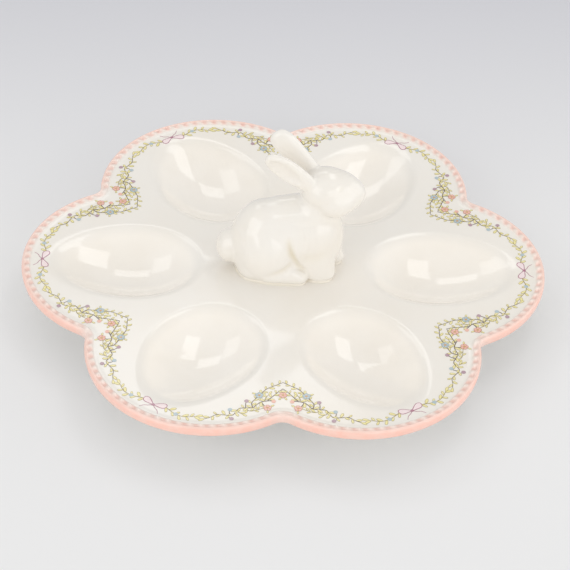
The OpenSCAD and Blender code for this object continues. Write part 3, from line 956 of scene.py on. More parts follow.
def section_line(mesh, height):
    """The longest outline of a mesh at a height, anticlockwise from its front, with even steps."""
    bm = bmesh.new()
    bm.from_mesh(mesh)
    bmesh.ops.bisect_plane(
        bm, geom=bm.verts[:] + bm.edges[:] + bm.faces[:], plane_co=(0, 0, height), plane_no=(0, 0, 1),
        clear_inner=True, clear_outer=True,
    )
    left = set(bm.edges)
    longest = []
    while left:
        edge = left.pop()
        start, vert = edge.verts
        line = [start.co.xy]
        while vert is not start:
            line.append(vert.co.xy)
            edge = next((e for e in vert.link_edges if e in left), None)
            if edge is None:
                break
            left.discard(edge)
            vert = edge.other_vert(vert)
        longest = max(longest, line, key=len)
    points = np.array([tuple(point) for point in longest])
    bm.free()
    x, y = points.T
    if np.sum(x * np.roll(y, -1) - y * np.roll(x, -1)) < 0:
        points = points[::-1]
    points = np.roll(points, -np.argmax(points[:, 0]), axis=0)
    closed = np.vstack([points, points[:1]])
    gone = lengths_along(closed)
    steps = np.linspace(0.0, gone[-1], SLIP_COLUMNS, endpoint=False)
    return np.stack([np.interp(steps, gone, closed[:, axis]) for axis in (0, 1)], axis=-1)


def softened(line, passes):
    for _ in range(passes):
        line = 0.5 * line + 0.25 * (np.roll(line, 1, axis=0) + np.roll(line, -1, axis=0))
    return line


def shape_slip(sizes, body):
    """A ring of slip that runs out from the figure's foot onto the platter."""
    top = FLAT_Z + sizes.fillet_rise
    outline = section_line(body, top)
    way = np.roll(outline, -2, axis=0) - np.roll(outline, 2, axis=0)
    way /= np.hypot(*way.T)[:, None]
    outward = softened(np.stack([way[:, 1], -way[:, 0]], axis=-1), SLIP_TURN_PASSES)
    mesh = mesh_from(ring_of_loops(len(SLIP_PROFILE_SHARES), SLIP_COLUMNS, set()), "slip_fillet")
    places = vertex_places(mesh)
    row = take_rows(mesh)
    turn = np.arctan2(places[:, 1], places[:, 0]) / (2 * math.pi)
    column = np.round(turn * SLIP_COLUMNS).astype(int) % SLIP_COLUMNS
    for index, (out, rise) in enumerate(SLIP_PROFILE_SHARES):
        passes = round(SLIP_EDGE_PASSES * max(out, 0.0))
        line = softened(outline + outward * out * sizes.fillet, passes)
        chosen = row == index
        places[chosen, :2] = line[column[chosen]]
        places[chosen, 2] = FLAT_Z + rise * (top - FLAT_Z)
    move_vertices(mesh, places)
    return outward_mesh(mesh)


# Shaders

# Sockets of a mix node, for colours and for values
MIX_FACTOR, MIX_A, MIX_B, MIX_RESULT = 0, 6, 7, 2
MIX_VALUE_A, MIX_VALUE_B, MIX_VALUE_RESULT = 2, 3, 0
# Patterns in the glaze, paint, clay and ink: scale and detail of a noise
DRIFT = (28.0, 3.0)
WAVE = (55.0, 1.0)
PEEL = (420.0, 2.0)
STROKES = (190.0, 4.0)
CLAY_GRAIN = (900.0, 3.0)
INK_GRAIN = (700.0, 3.0)
# Values of a noise that are spread over a pattern's whole range
NOISE_RANGE = (0.3, 0.7)
INK_NOISE_RANGE = (0.3, 0.75)
# Pinholes: scale of their cells, radii of their edge in cells, strength and colour
PINHOLE_SCALE = 95.0
PINHOLE_EDGE = (0.012, 0.02)
PINHOLE_STRENGTH = 0.12
PINHOLE_COLOUR = (0.35, 0.26, 0.18, 1.0)
# Height of the fine peel against the slow waves, and what it does to the roughness
PEEL_SHARE = 0.05
PEEL_DULLING = (-0.015, 0.025)
# Least cover of the brush strokes and least shade of the clay's grain
STROKE_COVER = 0.74
CLAY_SHADE = 0.85
CLAY_ROUGHNESS = 0.8
# Roughness of the fired surfaces: the flat glaze, the glaze that pools in the wells, and the rest
FLAT_ROUGHNESS = 0.115
POOL_ROUGHNESS = 0.06
FIGURE_ROUGHNESS = 0.085
SLIP_ROUGHNESS = 0.12
INK_ROUGHNESS = 0.16
# How far the warm tint shows
PLATTER_WARMTH = 0.5
FIGURE_WARMTH = 0.6
SLIP_WARMTH = 0.8
# How far the ink thins, and the pale tint that it thins to: a share of the ink and a lift
INK_THINNING = 0.4
INK_PALE_SHARE = 0.5
INK_PALE_LIFT = 0.45
# Relief of the glaze, and how much it mirrors
PLATTER_RELIEF = 0.09 * MM
FINE_RELIEF = 0.06 * MM
RELIEF_STRENGTH = 0.6
GLAZE_IOR = 1.6


def add_node(tree, kind, inputs=None, **settings):
    """Add a node, set its fields and set or link its inputs."""
    made = tree.nodes.new(kind)
    for field, value in settings.items():
        setattr(made, field, value)
    for socket, value in (inputs or {}).items():
        if isinstance(value, bpy.types.NodeSocket):
            tree.links.new(value, made.inputs[socket])
        else:
            made.inputs[socket].default_value = value
    return made


def opaque(value):
    return (*value, 1.0)


def mix_colours(tree, factor, first, second, blend="MIX"):
    made = add_node(
        tree, "ShaderNodeMix", {MIX_FACTOR: factor, MIX_A: first, MIX_B: second},
        data_type="RGBA", blend_type=blend,
    )
    return made.outputs[MIX_RESULT]


def mix_values(tree, factor, first, second):
    made = add_node(
        tree, "ShaderNodeMix", {MIX_FACTOR: factor, MIX_VALUE_A: first, MIX_VALUE_B: second},
        data_type="FLOAT",
    )
    return made.outputs[MIX_VALUE_RESULT]


def maths(tree, operation, first, second):
    return add_node(tree, "ShaderNodeMath", {0: first, 1: second}, operation=operation).outputs[0]


def ranged(tree, value, low, high, to_low, to_high):
    made = add_node(
        tree, "ShaderNodeMapRange",
        {"Value": value, "From Min": low, "From Max": high, "To Min": to_low, "To Max": to_high},
    )
    return made.outputs["Result"]


def attribute(tree, name):
    return add_node(tree, "ShaderNodeAttribute", attribute_name=name).outputs["Fac"]


def object_place(tree):
    return add_node(tree, "ShaderNodeTexCoord").outputs["Object"]


def noise(tree, place, scale, detail):
    made = add_node(tree, "ShaderNodeTexNoise", {"Vector": place, "Scale": scale, "Detail": detail})
    return made.outputs["Fac"]


def glaze_group():
    """Shared glaze: drifting tint, pinholes and the slow waves of a fired surface."""
    found = bpy.data.node_groups.get("fired_glaze")
    if found:
        return found
    tree = bpy.data.node_groups.new("fired_glaze", "ShaderNodeTree")
    sockets = (
        ("Colour", "INPUT", "Color"), ("Warm colour", "INPUT", "Color"), ("Warmth", "INPUT", "Float"),
        ("Roughness", "INPUT", "Float"), ("Colour", "OUTPUT", "Color"), ("Roughness", "OUTPUT", "Float"),
        ("Height", "OUTPUT", "Float"),
    )
    for name, way, kind in sockets:
        tree.interface.new_socket(name, in_out=way, socket_type="NodeSocket" + kind)
    given = tree.nodes.new("NodeGroupInput").outputs
    place = object_place(tree)
    drift = ranged(tree, noise(tree, place, *DRIFT), *NOISE_RANGE, 0.0, 1.0)
    warm = maths(tree, "MULTIPLY", drift, given["Warmth"])
    tinted = mix_colours(tree, warm, given["Colour"], given["Warm colour"])
    cells = add_node(tree, "ShaderNodeTexVoronoi", {"Vector": place, "Scale": PINHOLE_SCALE})
    pinhole = ranged(tree, cells.outputs["Distance"], *PINHOLE_EDGE, 1.0, 0.0)
    faint = maths(tree, "MULTIPLY", pinhole, PINHOLE_STRENGTH)
    specked = mix_colours(tree, faint, tinted, PINHOLE_COLOUR)
    peel = noise(tree, place, *PEEL)
    fine = maths(tree, "MULTIPLY", peel, PEEL_SHARE)
    relief = maths(tree, "ADD", noise(tree, place, *WAVE), fine)
    dull = ranged(tree, peel, *NOISE_RANGE, *PEEL_DULLING)
    rough = maths(tree, "ADD", given["Roughness"], dull)
    add_node(tree, "NodeGroupOutput", {"Colour": specked, "Roughness": rough, "Height": relief})
    return tree


def new_material(name):
    material = bpy.data.materials.new(name)
    material.use_nodes = True
    return material, material.node_tree, material.node_tree.nodes["Principled BSDF"]


def fired(tree, base, warm, warmth, roughness):
    """Place the shared glaze in a material and return its outputs."""
    inputs = {"Colour": base, "Warm colour": warm, "Warmth": warmth, "Roughness": roughness}
    return add_node(tree, "ShaderNodeGroup", inputs, node_tree=glaze_group()).outputs


def finish_glaze(tree, shader, colour_out, rough, height, depth):
    """Link a fired surface to its shader."""
    relief = {"Height": height, "Strength": RELIEF_STRENGTH, "Distance": depth}
    normal = add_node(tree, "ShaderNodeBump", relief).outputs["Normal"]
    for name, value in (("Base Color", colour_out), ("Roughness", rough), ("Normal", normal)):
        tree.links.new(value, shader.inputs[name])
    shader.inputs["IOR"].default_value = GLAZE_IOR


def platter_glaze(finish):
    """Cream glaze with the hand-painted pink rim and the bare foot ring."""
    material, tree, shader = new_material("platter_glaze")
    place = object_place(tree)
    paint, pool, bare, thick = (attribute(tree, name) for name in MASKS)
    # The wells are painted lighter than the flat top, as painted light against their shade; the same mask
    # makes their glaze smoother, as pooled glaze
    cream = mix_colours(tree, thick, opaque(finish.glaze), opaque(finish.well_glaze_painted_light))
    smooth = ranged(tree, thick, 0.0, 1.0, FLAT_ROUGHNESS, POOL_ROUGHNESS)
    skin = fired(tree, cream, opaque(finish.glaze_warm), PLATTER_WARMTH, smooth)
    strokes = ranged(tree, noise(tree, place, *STROKES), *NOISE_RANGE, STROKE_COVER, 1.0)
    pink = mix_colours(tree, pool, opaque(finish.pink), opaque(finish.pink_deep))
    painted = mix_colours(tree, maths(tree, "MULTIPLY", paint, strokes), skin["Colour"], pink)
    grain = ranged(tree, noise(tree, place, *CLAY_GRAIN), *NOISE_RANGE, CLAY_SHADE, 1.0)
    clay = mix_colours(tree, 1.0, opaque(finish.clay), grain, "MULTIPLY")
    shown = mix_colours(tree, bare, painted, clay)
    rough = mix_values(tree, bare, skin["Roughness"], CLAY_ROUGHNESS)
    finish_glaze(tree, shader, shown, rough, skin["Height"], PLATTER_RELIEF)
    return material


def figure_glaze(finish):
    """White glaze, painted darker and yellower in the creases and dimples: painted shade there, with glaze
    that pools in them.
    """
    material, tree, shader = new_material("rabbit_glaze")
    white = mix_colours(tree, attribute(tree, "thick"), opaque(finish.figure), opaque(finish.crease))
    skin = fired(tree, white, opaque(finish.figure_warm), FIGURE_WARMTH, FIGURE_ROUGHNESS)
    finish_glaze(tree, shader, *skin, FINE_RELIEF)
    return material


def slip_glaze(finish):
    """White glaze over the slip, darker and warmer than on the rabbit: painted contact shade at the
    figure's foot, with glaze pooled there.
    """
    material, tree, shader = new_material("slip_glaze")
    skin = fired(tree, opaque(finish.slip), opaque(finish.figure_warm), SLIP_WARMTH, SLIP_ROUGHNESS)
    finish_glaze(tree, shader, *skin, FINE_RELIEF)
    return material


def print_ink(name, ink):
    """Fired transfer ink: uneven and slightly grainy, under the same gloss."""
    found = bpy.data.materials.get(name)
    if found:
        return found
    material, tree, shader = new_material(name)
    grain = noise(tree, object_place(tree), *INK_GRAIN)
    thin = ranged(tree, grain, *INK_NOISE_RANGE, 0.0, INK_THINNING)
    pale = tuple(INK_PALE_SHARE * part + INK_PALE_LIFT for part in ink)
    skin = fired(tree, opaque(ink), opaque(ink), 0.0, INK_ROUGHNESS)
    inked = mix_colours(tree, thin, skin["Colour"], opaque(pale))
    finish_glaze(tree, shader, inked, skin["Roughness"], skin["Height"], FINE_RELIEF)
    return material


# Printed border

# Vines: an angle from the lobe's axis in degrees and an inset as a share of the border's depth
VINE_SHARES = [
    (66, 0.55), (62.8, 0.595), (59.5, 0.57), (56.3, 0.525), (52.5, 0.57), (49, 0.6), (46.5, 0.53),
    (43.7, 0.43), (39.5, 0.47), (35.7, 0.5), (32, 0.42), (29.2, 0.37),
]
TENDRIL_SHARES = [
    (56.3, 0.525), (57.1, 0.65), (60.5, 0.73), (65, 0.79), (69.5, 0.84), (73.4, 0.85), (79, 0.8),
    (83.8, 0.74),
]
ARCH_SHARES = [(66, 0.55), (69, 0.58), (72.5, 0.605), (76, 0.62), (79.6, 0.612)]
# Side twigs between the vine and the edge
TWIG_SHARES = [
    [(53.2, 0.56), (52.6, 0.5), (54.2, 0.44), (57.2, 0.42), (60.4, 0.41)],
    [(48.6, 0.59), (47.6, 0.5), (49, 0.42)],
    [(64.5, 0.57), (66.4, 0.64), (69.8, 0.69)],
]
# Stalks that carry the berries and blossoms
STALK_SHARES = [
    [(52.5, 0.57), (53.6, 0.68), (55.2, 0.76)], [(43, 0.45), (42.6, 0.53), (43.5, 0.61)],
    [(41.5, 0.45), (41.6, 0.39), (42.8, 0.33)], [(62.8, 0.595), (62.4, 0.48), (63, 0.37)],
    [(66, 0.55), (67.6, 0.51), (68.5, 0.46)],
]
SPRAY_BERRY_SHARES = [
    (55.2, 0.76, "mauve"), (43.5, 0.61, "blue"), (42.8, 0.33, "mauve"), (68.5, 0.46, "coral"),
]
SPRAY_BLOSSOM_SHARES = [(64.8, 0.79, "blue"), (63, 0.37, "coral")]
SPRAY_MIDDLE_SHARE = 0.69
SPRIG_VINE_SHARES = [(6, 0.53), (9, 0.49), (12, 0.43), (15, 0.39), (18, 0.37), (21, 0.39), (24.5, 0.43)]
SPRIG_BERRY_SHARES = (13.9, 0.4)
BOW_INSET_SHARE = 0.47
# Outline of one bow loop and line of one ribbon tail, as shares of the bow's length
BOW_LOOP_SHARES = [
    (0, 0), (0.16, 0.16), (0.33, 0.27), (0.47, 0.24), (0.5, 0.1), (0.41, -0.01), (0.2, -0.03),
]
BOW_TAIL_SHARES = [(0, 0), (0.14, -0.12), (0.28, -0.19), (0.4, -0.34)]
BOW_KNOT_SHARE = 0.13
BOW_LINE_SCALE = 2.1
PETALS = 5
# Layers of the print, from the glaze up
STEM_LAYER, LEAF_LAYER, FLOWER_LAYER, HEART_LAYER = 1, 2, 3, 4
# Points round a leaf and round a petal, berry or heart
LEAF_POINTS = 14
ROUND_POINTS = 12
# Steps between two points of a stem or ribbon tail, and of a bow's loop
STEM_STEPS = 5
LOOP_STEPS = 4
# How much a drawn line thins towards its end
LINE_TAPER = 0.45
# Blossom, as shares of its radius: a petal's middle, half length and half width, and the heart's width
PETAL_SHARES = (0.56, 0.44, 0.5)
HEART_SHARE = 0.6
# Leaves under a blossom: their distance as a share of its radius, their scale and their number
UNDER_LEAF_SHARE = 0.7
UNDER_LEAF_SCALE = 0.75
ARM_LEAVES = 3
MIDDLE_LEAVES = 6
# Leaves on a stem: the first one's place in steps, then middle, swing and beat of their turn and scale
FIRST_LEAF_STEP = 0.6
LEAF_TURN = (48, 14, 2.3)
LEAF_SCALE = (0.9, 0.14, 1.7)
# Scale of the leaves on tendrils, twigs and sprigs
TENDRIL_SCALE = 0.92
TWIG_SCALE = 0.85
SPRIG_SCALE = 1.1

INKS = (
    "stem", "twig", "leaf", "leaf_line", "coral", "coral_line", "blue", "blue_line", "mauve", "heart",
    "bow", "bow_line",
)


def turned(degrees):
    return Matrix.Rotation(math.radians(degrees), 4, "Z")


def swing(index, middle, reach, beat):
    """A value that goes to and fro about a middle one from leaf to leaf."""
    return middle + reach * math.sin(beat * index)


def curve_through(points, spans, closed=False):
    """Smooth line through some points, with a few steps on each span."""
    known = np.array(points, dtype=float)
    padded = np.pad(known, ((1, 2), (0, 0)), mode="wrap" if closed else "edge")
    line = []
    for i in range(len(known) if closed else len(known) - 1):
        before, start, end, after = padded[i:i + 4]
        slope_in = (end - before) / 2
        slope_out = (after - start) / 2
        for step in range(spans):
            t = step / spans
            first = (2 * t ** 3 - 3 * t ** 2 + 1) * start + (t ** 3 - 2 * t ** 2 + t) * slope_in
            line.append(first + (3 * t ** 2 - 2 * t ** 3) * end + (t ** 3 - t ** 2) * slope_out)
    if not closed:
        line.append(known[-1])
    return np.array(line)


class Transfer:
    """One printed transfer, drawn flat and then laid on the glaze."""

    def __init__(self, settings):
        self.sizes = settings.border
        self.platter = settings.platter
        self.bm = bmesh.new()
        self.shapes = 0

    def lobe_point(self, degrees, inset_share):
        radius = self.platter.lobe_radius - inset_share * self.sizes.border
        turn = math.radians(degrees)
        lobe_at = self.platter.span / 2 - self.platter.lobe_radius
        return Vector((lobe_at + radius * math.cos(turn), radius * math.sin(turn), 0))

    def at_border(self, frame_of_lobe, degrees, inset_share):
        return frame_of_lobe @ Matrix.Translation(self.lobe_point(degrees, inset_share)) @ turned(degrees)

    def height(self, layer):
        """A height of its own for each printed shape, so that no two lie in one plane."""
        self.shapes += 1
        return layer * self.sizes.layer + self.shapes * self.sizes.lap

    def patch(self, points, place, layer, fill, line=None, line_scale=1.0):
        """A filled shape with a drawn outline."""
        height = self.height(layer)
        made = bmesh.ops.create_circle(self.bm, cap_ends=True, segments=len(points), radius=1.0)["verts"]
        for vert, point in zip(made, points):
            vert.co = place @ Vector((point[0], point[1], 0))
            vert.co.z = height
        face = made[0].link_faces[0]
        face.normal_update()
        face.material_index = INKS.index(fill)
        if line:
            width = line_scale * self.sizes.line
            rim = bmesh.ops.inset_individual(self.bm, faces=[face], thickness=width, use_even_offset=True)
            for ring in rim["faces"]:
                ring.material_index = INKS.index(line)

    def strip(self, line, place, layer, ink, width):
        """A drawn line of even width that thins to its end."""
        height = self.height(layer)
        steps = len(line) - 1
        way = np.gradient(line, axis=0)
        way /= np.linalg.norm(way, axis=1)[:, None]
        made = bmesh.ops.create_grid(self.bm, x_segments=steps, y_segments=1, size=0.5)["verts"]
        for vert in made:
            index = round((vert.co.x + 0.5) * steps)
            half = width / 2 * (1 - LINE_TAPER * index / steps)
            side = math.copysign(half, vert.co.y)
            x = line[index][0] - way[index][1] * side
            y = line[index][1] + way[index][0] * side
            vert.co = place @ Vector((x, y, 0))
            vert.co.z = height
        for face in {f for v in made for f in v.link_faces}:
            face.material_index = INKS.index(ink)

    def leaf(self, place, scale=1.0, layer=LEAF_LAYER):
        sizes = self.sizes
        points = []
        for t in full_turn(LEAF_POINTS):
            x = sizes.leaf * scale * (1 - math.cos(t)) / 2
            y = sizes.leaf_width * scale / 2 * math.sin(t) * math.sqrt(abs(math.sin(t / 2)))
            points.append((x, y))
        self.patch(points, place, layer, "leaf", "leaf_line")

    def dot(self, place, width, layer, ink):
        points = [(width / 2 * math.cos(t), width / 2 * math.sin(t)) for t in full_turn(ROUND_POINTS)]
        self.patch(points, place, layer, ink)

    def blossom(self, place, ink, leaves):
        """Five petals round a heart, over a ring of small leaves."""
        radius = self.sizes.blossom / 2
        for index in range(leaves):
            way = place @ turned(index * 360 / leaves + 90)
            seat = way @ Matrix.Translation((UNDER_LEAF_SHARE * radius, 0, 0))
            self.leaf(seat, UNDER_LEAF_SCALE, STEM_LAYER)
        middle, long, wide = PETAL_SHARES
        petal = []
        for t in full_turn(ROUND_POINTS):
            petal.append((radius * (middle + long * math.cos(t)), radius * wide * math.sin(t)))
        for index in range(PETALS):
            seat = place @ turned(index * 360 / PETALS)
            self.patch(petal, seat, FLOWER_LAYER, ink, ink + "_line")
        self.dot(place, HEART_SHARE * radius, HEART_LAYER, "heart")

    def border_line(self, shares):
        return curve_through([self.lobe_point(*place)[:2] for place in shares], STEM_STEPS)

    def vine(self, frame_of_lobe, shares, ink, leaf_scale=1.0, tip=True):
        """A stem with leaves on alternate sides, each a little different in size and turn."""
        step = self.sizes.leaf_step
        line = self.border_line(shares)
        self.strip(line, frame_of_lobe, STEM_LAYER, ink, self.sizes.stem)
        gone = lengths_along(line)

        def point_at(reach):
            return np.array([np.interp(reach, gone, part) for part in line.T])

        def add_leaf(point, way, turn, scale):
            heading = math.degrees(math.atan2(way[1], way[0])) + turn
            self.leaf(frame_of_lobe @ Matrix.Translation((*point, 0)) @ turned(heading), scale)

        for index in range(int(gone[-1] / step)):
            reach = (index + FIRST_LEAF_STEP) * step
            way = point_at(reach + step) - point_at(reach - step)
            turn = swing(index, *LEAF_TURN)
            scale = leaf_scale * swing(index, *LEAF_SCALE)
            add_leaf(point_at(reach), way, turn if index % 2 else -turn, scale)
        if tip:
            add_leaf(line[-1], line[-1] - line[-2], 0.0, leaf_scale)

    def spray_arm(self, frame_of_lobe):
        self.vine(frame_of_lobe, VINE_SHARES, "stem")
        for shares in (TENDRIL_SHARES, ARCH_SHARES):
            self.vine(frame_of_lobe, shares, "stem", TENDRIL_SCALE, tip=False)
        for shares in TWIG_SHARES:
            self.vine(frame_of_lobe, shares, "twig", TWIG_SCALE)
        for shares in STALK_SHARES:
            self.strip(self.border_line(shares), frame_of_lobe, STEM_LAYER, "stem", self.sizes.stem)
        for degrees, inset_share, ink in SPRAY_BERRY_SHARES:
            place = self.at_border(frame_of_lobe, degrees, inset_share)
            self.dot(place, self.sizes.berry, FLOWER_LAYER, ink)
        for degrees, inset_share, ink in SPRAY_BLOSSOM_SHARES:
            self.blossom(self.at_border(frame_of_lobe, degrees, inset_share), ink, ARM_LEAVES)

    def spray(self, notch):
        """A spray across a notch, mirrored about it."""
        half = math.degrees(HALF_LOBE)
        self.spray_arm(notch @ turned(-half))
        self.spray_arm(notch @ Matrix.Diagonal((1, -1, 1, 1)) @ turned(-half))
        edge = notch_place(self.platter)[0] - self.platter.notch_radius
        inner = edge - SPRAY_MIDDLE_SHARE * self.sizes.border
        self.blossom(notch @ Matrix.Translation((inner, 0, 0)), "coral", MIDDLE_LEAVES)

    def bow(self, lobe):
        """A bow with a sprig on each side, at a lobe's tip."""
        sizes = self.sizes
        tip = Matrix.Translation(self.lobe_point(0, BOW_INSET_SHARE))
        loop = curve_through(np.array(BOW_LOOP_SHARES) * sizes.bow, LOOP_STEPS, closed=True)
        tail = curve_through(np.array(BOW_TAIL_SHARES) * sizes.bow, STEM_STEPS)
        for mirror in (1, -1):
            side = lobe @ Matrix.Diagonal((1, mirror, 1, 1))
            place = side @ tip @ turned(90)
            self.patch(loop, place, LEAF_LAYER, "bow", "bow_line", BOW_LINE_SCALE)
            self.strip(tail, place, STEM_LAYER, "bow_line", BOW_LINE_SCALE * sizes.line)
            self.vine(side, SPRIG_VINE_SHARES, "twig", SPRIG_SCALE)
            self.dot(self.at_border(side, *SPRIG_BERRY_SHARES), sizes.berry, FLOWER_LAYER, "blue")
        self.dot(lobe @ tip, BOW_KNOT_SHARE * sizes.bow, FLOWER_LAYER, "bow_line")

    def laid(self, name):
        """The finished film on the platter's glaze."""
        for face in self.bm.faces:
            face.normal_update()
            if face.normal.z < 0:
                face.normal_flip()
        bmesh.ops.solidify(self.bm, geom=self.bm.faces[:], thickness=self.sizes.film)
        mesh = mesh_from(self.bm, name)
        places = vertex_places(mesh)
        places[:, 2] += top_height(self.platter, places[:, 0], places[:, 1]) + self.sizes.film / 2
        move_vertices(mesh, places)
        mesh.shade_flat()
        return mesh


# Operators

def settings_of(context):
    return context.scene.egg_platter


class EGG_PLATTER_OT_platter(bpy.types.Operator):
    """Make the glazed platter with its wells, rim and foot ring"""

    bl_idname = "egg_platter.platter"
    bl_label = "Platter"

    def execute(self, context):
        settings = settings_of(context)
        mesh = shape_platter(settings.platter)
        add_piece("platter_glazed", mesh, [platter_glaze(settings.finish)], "glaze", "platter")
        return {"FINISHED"}


class EGG_PLATTER_OT_rabbit(bpy.types.Operator):
    """Make the rabbit as five castings cut from one smooth figure"""

    bl_idname = "egg_platter.rabbit"
    bl_label = "Rabbit"

    def execute(self, context):
        settings = settings_of(context)
        figure = shape_rabbit(settings.rabbit)
        planes = rabbit_planes(settings.rabbit)
        glaze = figure_glaze(settings.finish)
        for name, (node, cuts) in RABBIT_CUTS.items():
            bm = bmesh.new()
            bm.from_mesh(figure)
            for plane, kept, half in cuts:
                point, normal = planes[plane]
                cut(bm, point, kept * normal, half)
            mesh = mesh_from(bm, name)
            keep_figure_normals(mesh, figure)
            add_piece(name, mesh, [glaze], "figure_glaze", node)
        bpy.data.meshes.remove(figure)
        return {"FINISHED"}


class EGG_PLATTER_OT_slip(bpy.types.Operator):
    """Make the slip fillet between the rabbit and the platter"""

    bl_idname = "egg_platter.slip"
    bl_label = "Slip fillet"

    def execute(self, context):
        settings = settings_of(context)
        mesh = shape_slip(settings.rabbit, bpy.data.objects["rabbit_body"].data)
        add_piece("slip_fillet", mesh, [slip_glaze(settings.finish)], "slip_glaze", "slip_bed")
        return {"FINISHED"}


class EGG_PLATTER_OT_border(bpy.types.Operator):
    """Print the sprays at the notches and the bows at the lobe tips"""

    bl_idname = "egg_platter.border"
    bl_label = "Printed border"

    def execute(self, context):
        settings = settings_of(context)
        inks = [print_ink("print_" + name, getattr(settings.finish, name)) for name in INKS]
        for index in range(LOBES):
            for kind, turn in (("spray", HALF_LOBE), ("bow", 0.0)):
                transfer = Transfer(settings)
                draw = transfer.spray if kind == "spray" else transfer.bow
                draw(turned(math.degrees(index * LOBE_TURN + turn)))
                name = "print_%s_%d" % (kind, index + 1)
                node = "decal_%s_%d" % (kind, index + 1)
                add_piece(name, transfer.laid(name), inks, kind + "_print", node)
        return {"FINISHED"}


class EGG_PLATTER_OT_stage(bpy.types.Operator):
    """Set up the floor, the softboxes and the camera"""

    bl_idname = "egg_platter.stage"
    bl_label = "Stage"

    def execute(self, context):
        stage = settings_of(context).stage
        make_floor(stage)
        make_lights(stage)
        make_camera(stage)
        context.scene.view_settings.view_transform = "Standard"
        return {"FINISHED"}


# Stage

# Floor: half its width, where it turns from its front colour to its darker far colour, which is painted
# shade, its surface and its own light, which is painted light that lifts the shadows on it
FLOOR_HALF = 4.0
FLOOR_FADE = (0.04, 0.27)
FLOOR_ROUGHNESS = 0.85
FLOOR_SPECULAR = 0.2
FLOOR_GLOW = 0.97
CAMERA_CLIP = (0.01, 50.0)


def make_floor(stage):
    bm = bmesh.new()
    bmesh.ops.create_grid(bm, x_segments=1, y_segments=1, size=FLOOR_HALF)
    floor = bpy.data.objects.new("studio_floor", mesh_from(bm, "studio_floor"))
    bpy.context.scene.collection.objects.link(floor)
    material, tree, shader = new_material("studio_floor")
    depth = add_node(tree, "ShaderNodeSeparateXYZ", {0: object_place(tree)}).outputs["Y"]
    fade = ranged(tree, depth, *FLOOR_FADE, 0.0, 1.0)
    shade = mix_colours(tree, fade, opaque(stage.floor), opaque(stage.floor_far_painted_shade))
    tree.links.new(shade, shader.inputs["Base Color"])
    shader.inputs["Roughness"].default_value = FLOOR_ROUGHNESS
    shader.inputs["Specular IOR Level"].default_value = FLOOR_SPECULAR
    # Seen by camera, glossy and transmission rays, the floor glows with its own colour: painted light that
    # lifts the shadows on it
    rays = add_node(tree, "ShaderNodeLightPath").outputs
    seen = maths(tree, "MAXIMUM", rays["Is Camera Ray"], rays["Is Glossy Ray"])
    seen = maths(tree, "MAXIMUM", seen, rays["Is Transmission Ray"])
    lift = maths(tree, "MULTIPLY", seen, stage.floor_lift)
    own = add_node(tree, "ShaderNodeEmission", {"Color": shade, "Strength": FLOOR_GLOW})
    mixed = add_node(tree, "ShaderNodeMixShader", {0: lift, 1: shader.outputs[0], 2: own.outputs[0]})
    tree.links.new(mixed.outputs[0], tree.nodes["Material Output"].inputs["Surface"])
    floor.data.materials.append(material)


# Softboxes: name, place in metres from the platter's centre, the way they face where that isn't the
# platter, width, height and brightness
DOWN = Vector((0, 0, -1))
SOFTBOXES = [
    ("softbox_left", (-0.56, 0.6, 1.0), DOWN, 0.38, 0.64, 1.1),
    ("softbox_right", (0.34, 0.42, 1.0), DOWN, 0.32, 0.64, 1.75),
    ("softbox_back", (-0.12, 0.9, 1.0), DOWN, 0.44, 0.4, 1.55),
    ("screen_front_left", (-1.15, -1.1, 0.7), None, 1.5, 1.4, 1.3),
    ("screen_front_right", (0.9, -1.25, 0.5), None, 1.5, 1.0, 1.0),
    ("screen_right", (1.6, -0.1, 0.5), None, 1.8, 0.9, 1.0),
]


def turn_to(item, way):
    """Turn a lamp or a camera to look along a direction."""
    item.rotation_mode = "QUATERNION"
    item.rotation_quaternion = way.to_track_quat("-Z", "Y")


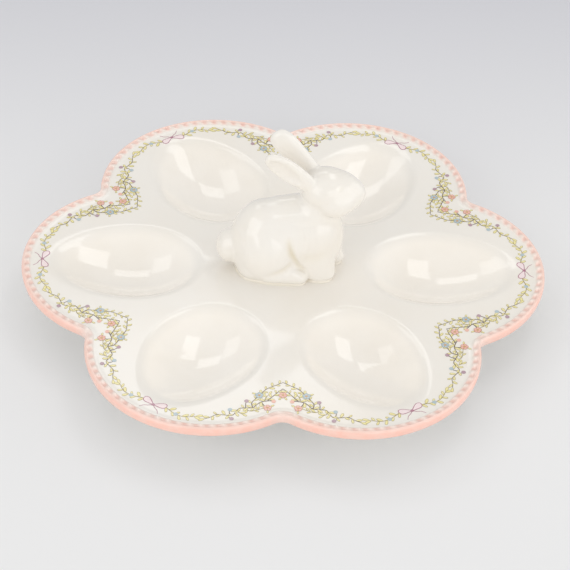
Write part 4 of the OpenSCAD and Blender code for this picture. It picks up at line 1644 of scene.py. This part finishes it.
def make_lights(stage):
    world = bpy.data.worlds.new("studio_room")
    world.use_nodes = True
    room = world.node_tree.nodes["Background"]
    room.inputs["Color"].default_value = (1.0, 1.0, 1.0, 1.0)
    room.inputs["Strength"].default_value = stage.ambient
    bpy.context.scene.world = world
    for name, place, facing, width, height, brightness in SOFTBOXES:
        lamp = bpy.data.lights.new(name, "AREA")
        lamp.shape = "RECTANGLE"
        lamp.size = width
        lamp.size_y = height
        lamp.energy = stage.softbox * brightness * math.pi * width * height
        box = bpy.data.objects.new(name, lamp)
        box.location = place
        turn_to(box, facing or -Vector(place))
        bpy.context.scene.collection.objects.link(box)


def make_camera(stage):
    lens = bpy.data.cameras.new("studio_camera")
    lens.lens = stage.lens
    lens.clip_start, lens.clip_end = CAMERA_CLIP
    camera = bpy.data.objects.new("studio_camera", lens)
    flat = math.cos(stage.elevation)
    aside = math.sin(stage.azimuth) * flat
    forward = -math.cos(stage.azimuth) * flat
    back = Vector((aside, forward, math.sin(stage.elevation)))
    camera.location = Vector((0, 0, RIM_Z)) + back * stage.distance
    turn_to(camera, Vector((stage.aim_x, stage.aim_y, RIM_Z)) - camera.location)
    camera.rotation_quaternion = camera.rotation_quaternion @ Quaternion((0, 0, 1), stage.roll)
    bpy.context.scene.collection.objects.link(camera)
    bpy.context.scene.camera = camera


class EGG_PLATTER_PT_panel(bpy.types.Panel):
    """Lists the steps that make the egg platter"""

    bl_idname = "EGG_PLATTER_PT_panel"
    bl_label = "Egg platter"
    bl_space_type = "VIEW_3D"
    bl_region_type = "UI"
    bl_category = "Egg platter"

    def draw(self, context):
        for step in STEPS:
            self.layout.operator(step.bl_idname)


STEPS = (
    EGG_PLATTER_OT_platter,
    EGG_PLATTER_OT_rabbit,
    EGG_PLATTER_OT_slip,
    EGG_PLATTER_OT_border,
    EGG_PLATTER_OT_stage,
)
GROUPS = (PlatterSizes, RabbitSizes, PrintSizes, Finishes, StageSettings, EggPlatterSettings)


def register():
    for group in GROUPS + STEPS + (EGG_PLATTER_PT_panel,):
        bpy.utils.register_class(group)
    bpy.types.Scene.egg_platter = PointerProperty(type=EggPlatterSettings)


def unregister():
    del bpy.types.Scene.egg_platter
    for group in reversed(GROUPS + STEPS + (EGG_PLATTER_PT_panel,)):
        bpy.utils.unregister_class(group)


def main():
    register()
    bpy.ops.egg_platter.platter()
    bpy.ops.egg_platter.rabbit()
    bpy.ops.egg_platter.slip()
    bpy.ops.egg_platter.border()
    bpy.ops.egg_platter.stage()


if __name__ == "__main__":
    main()
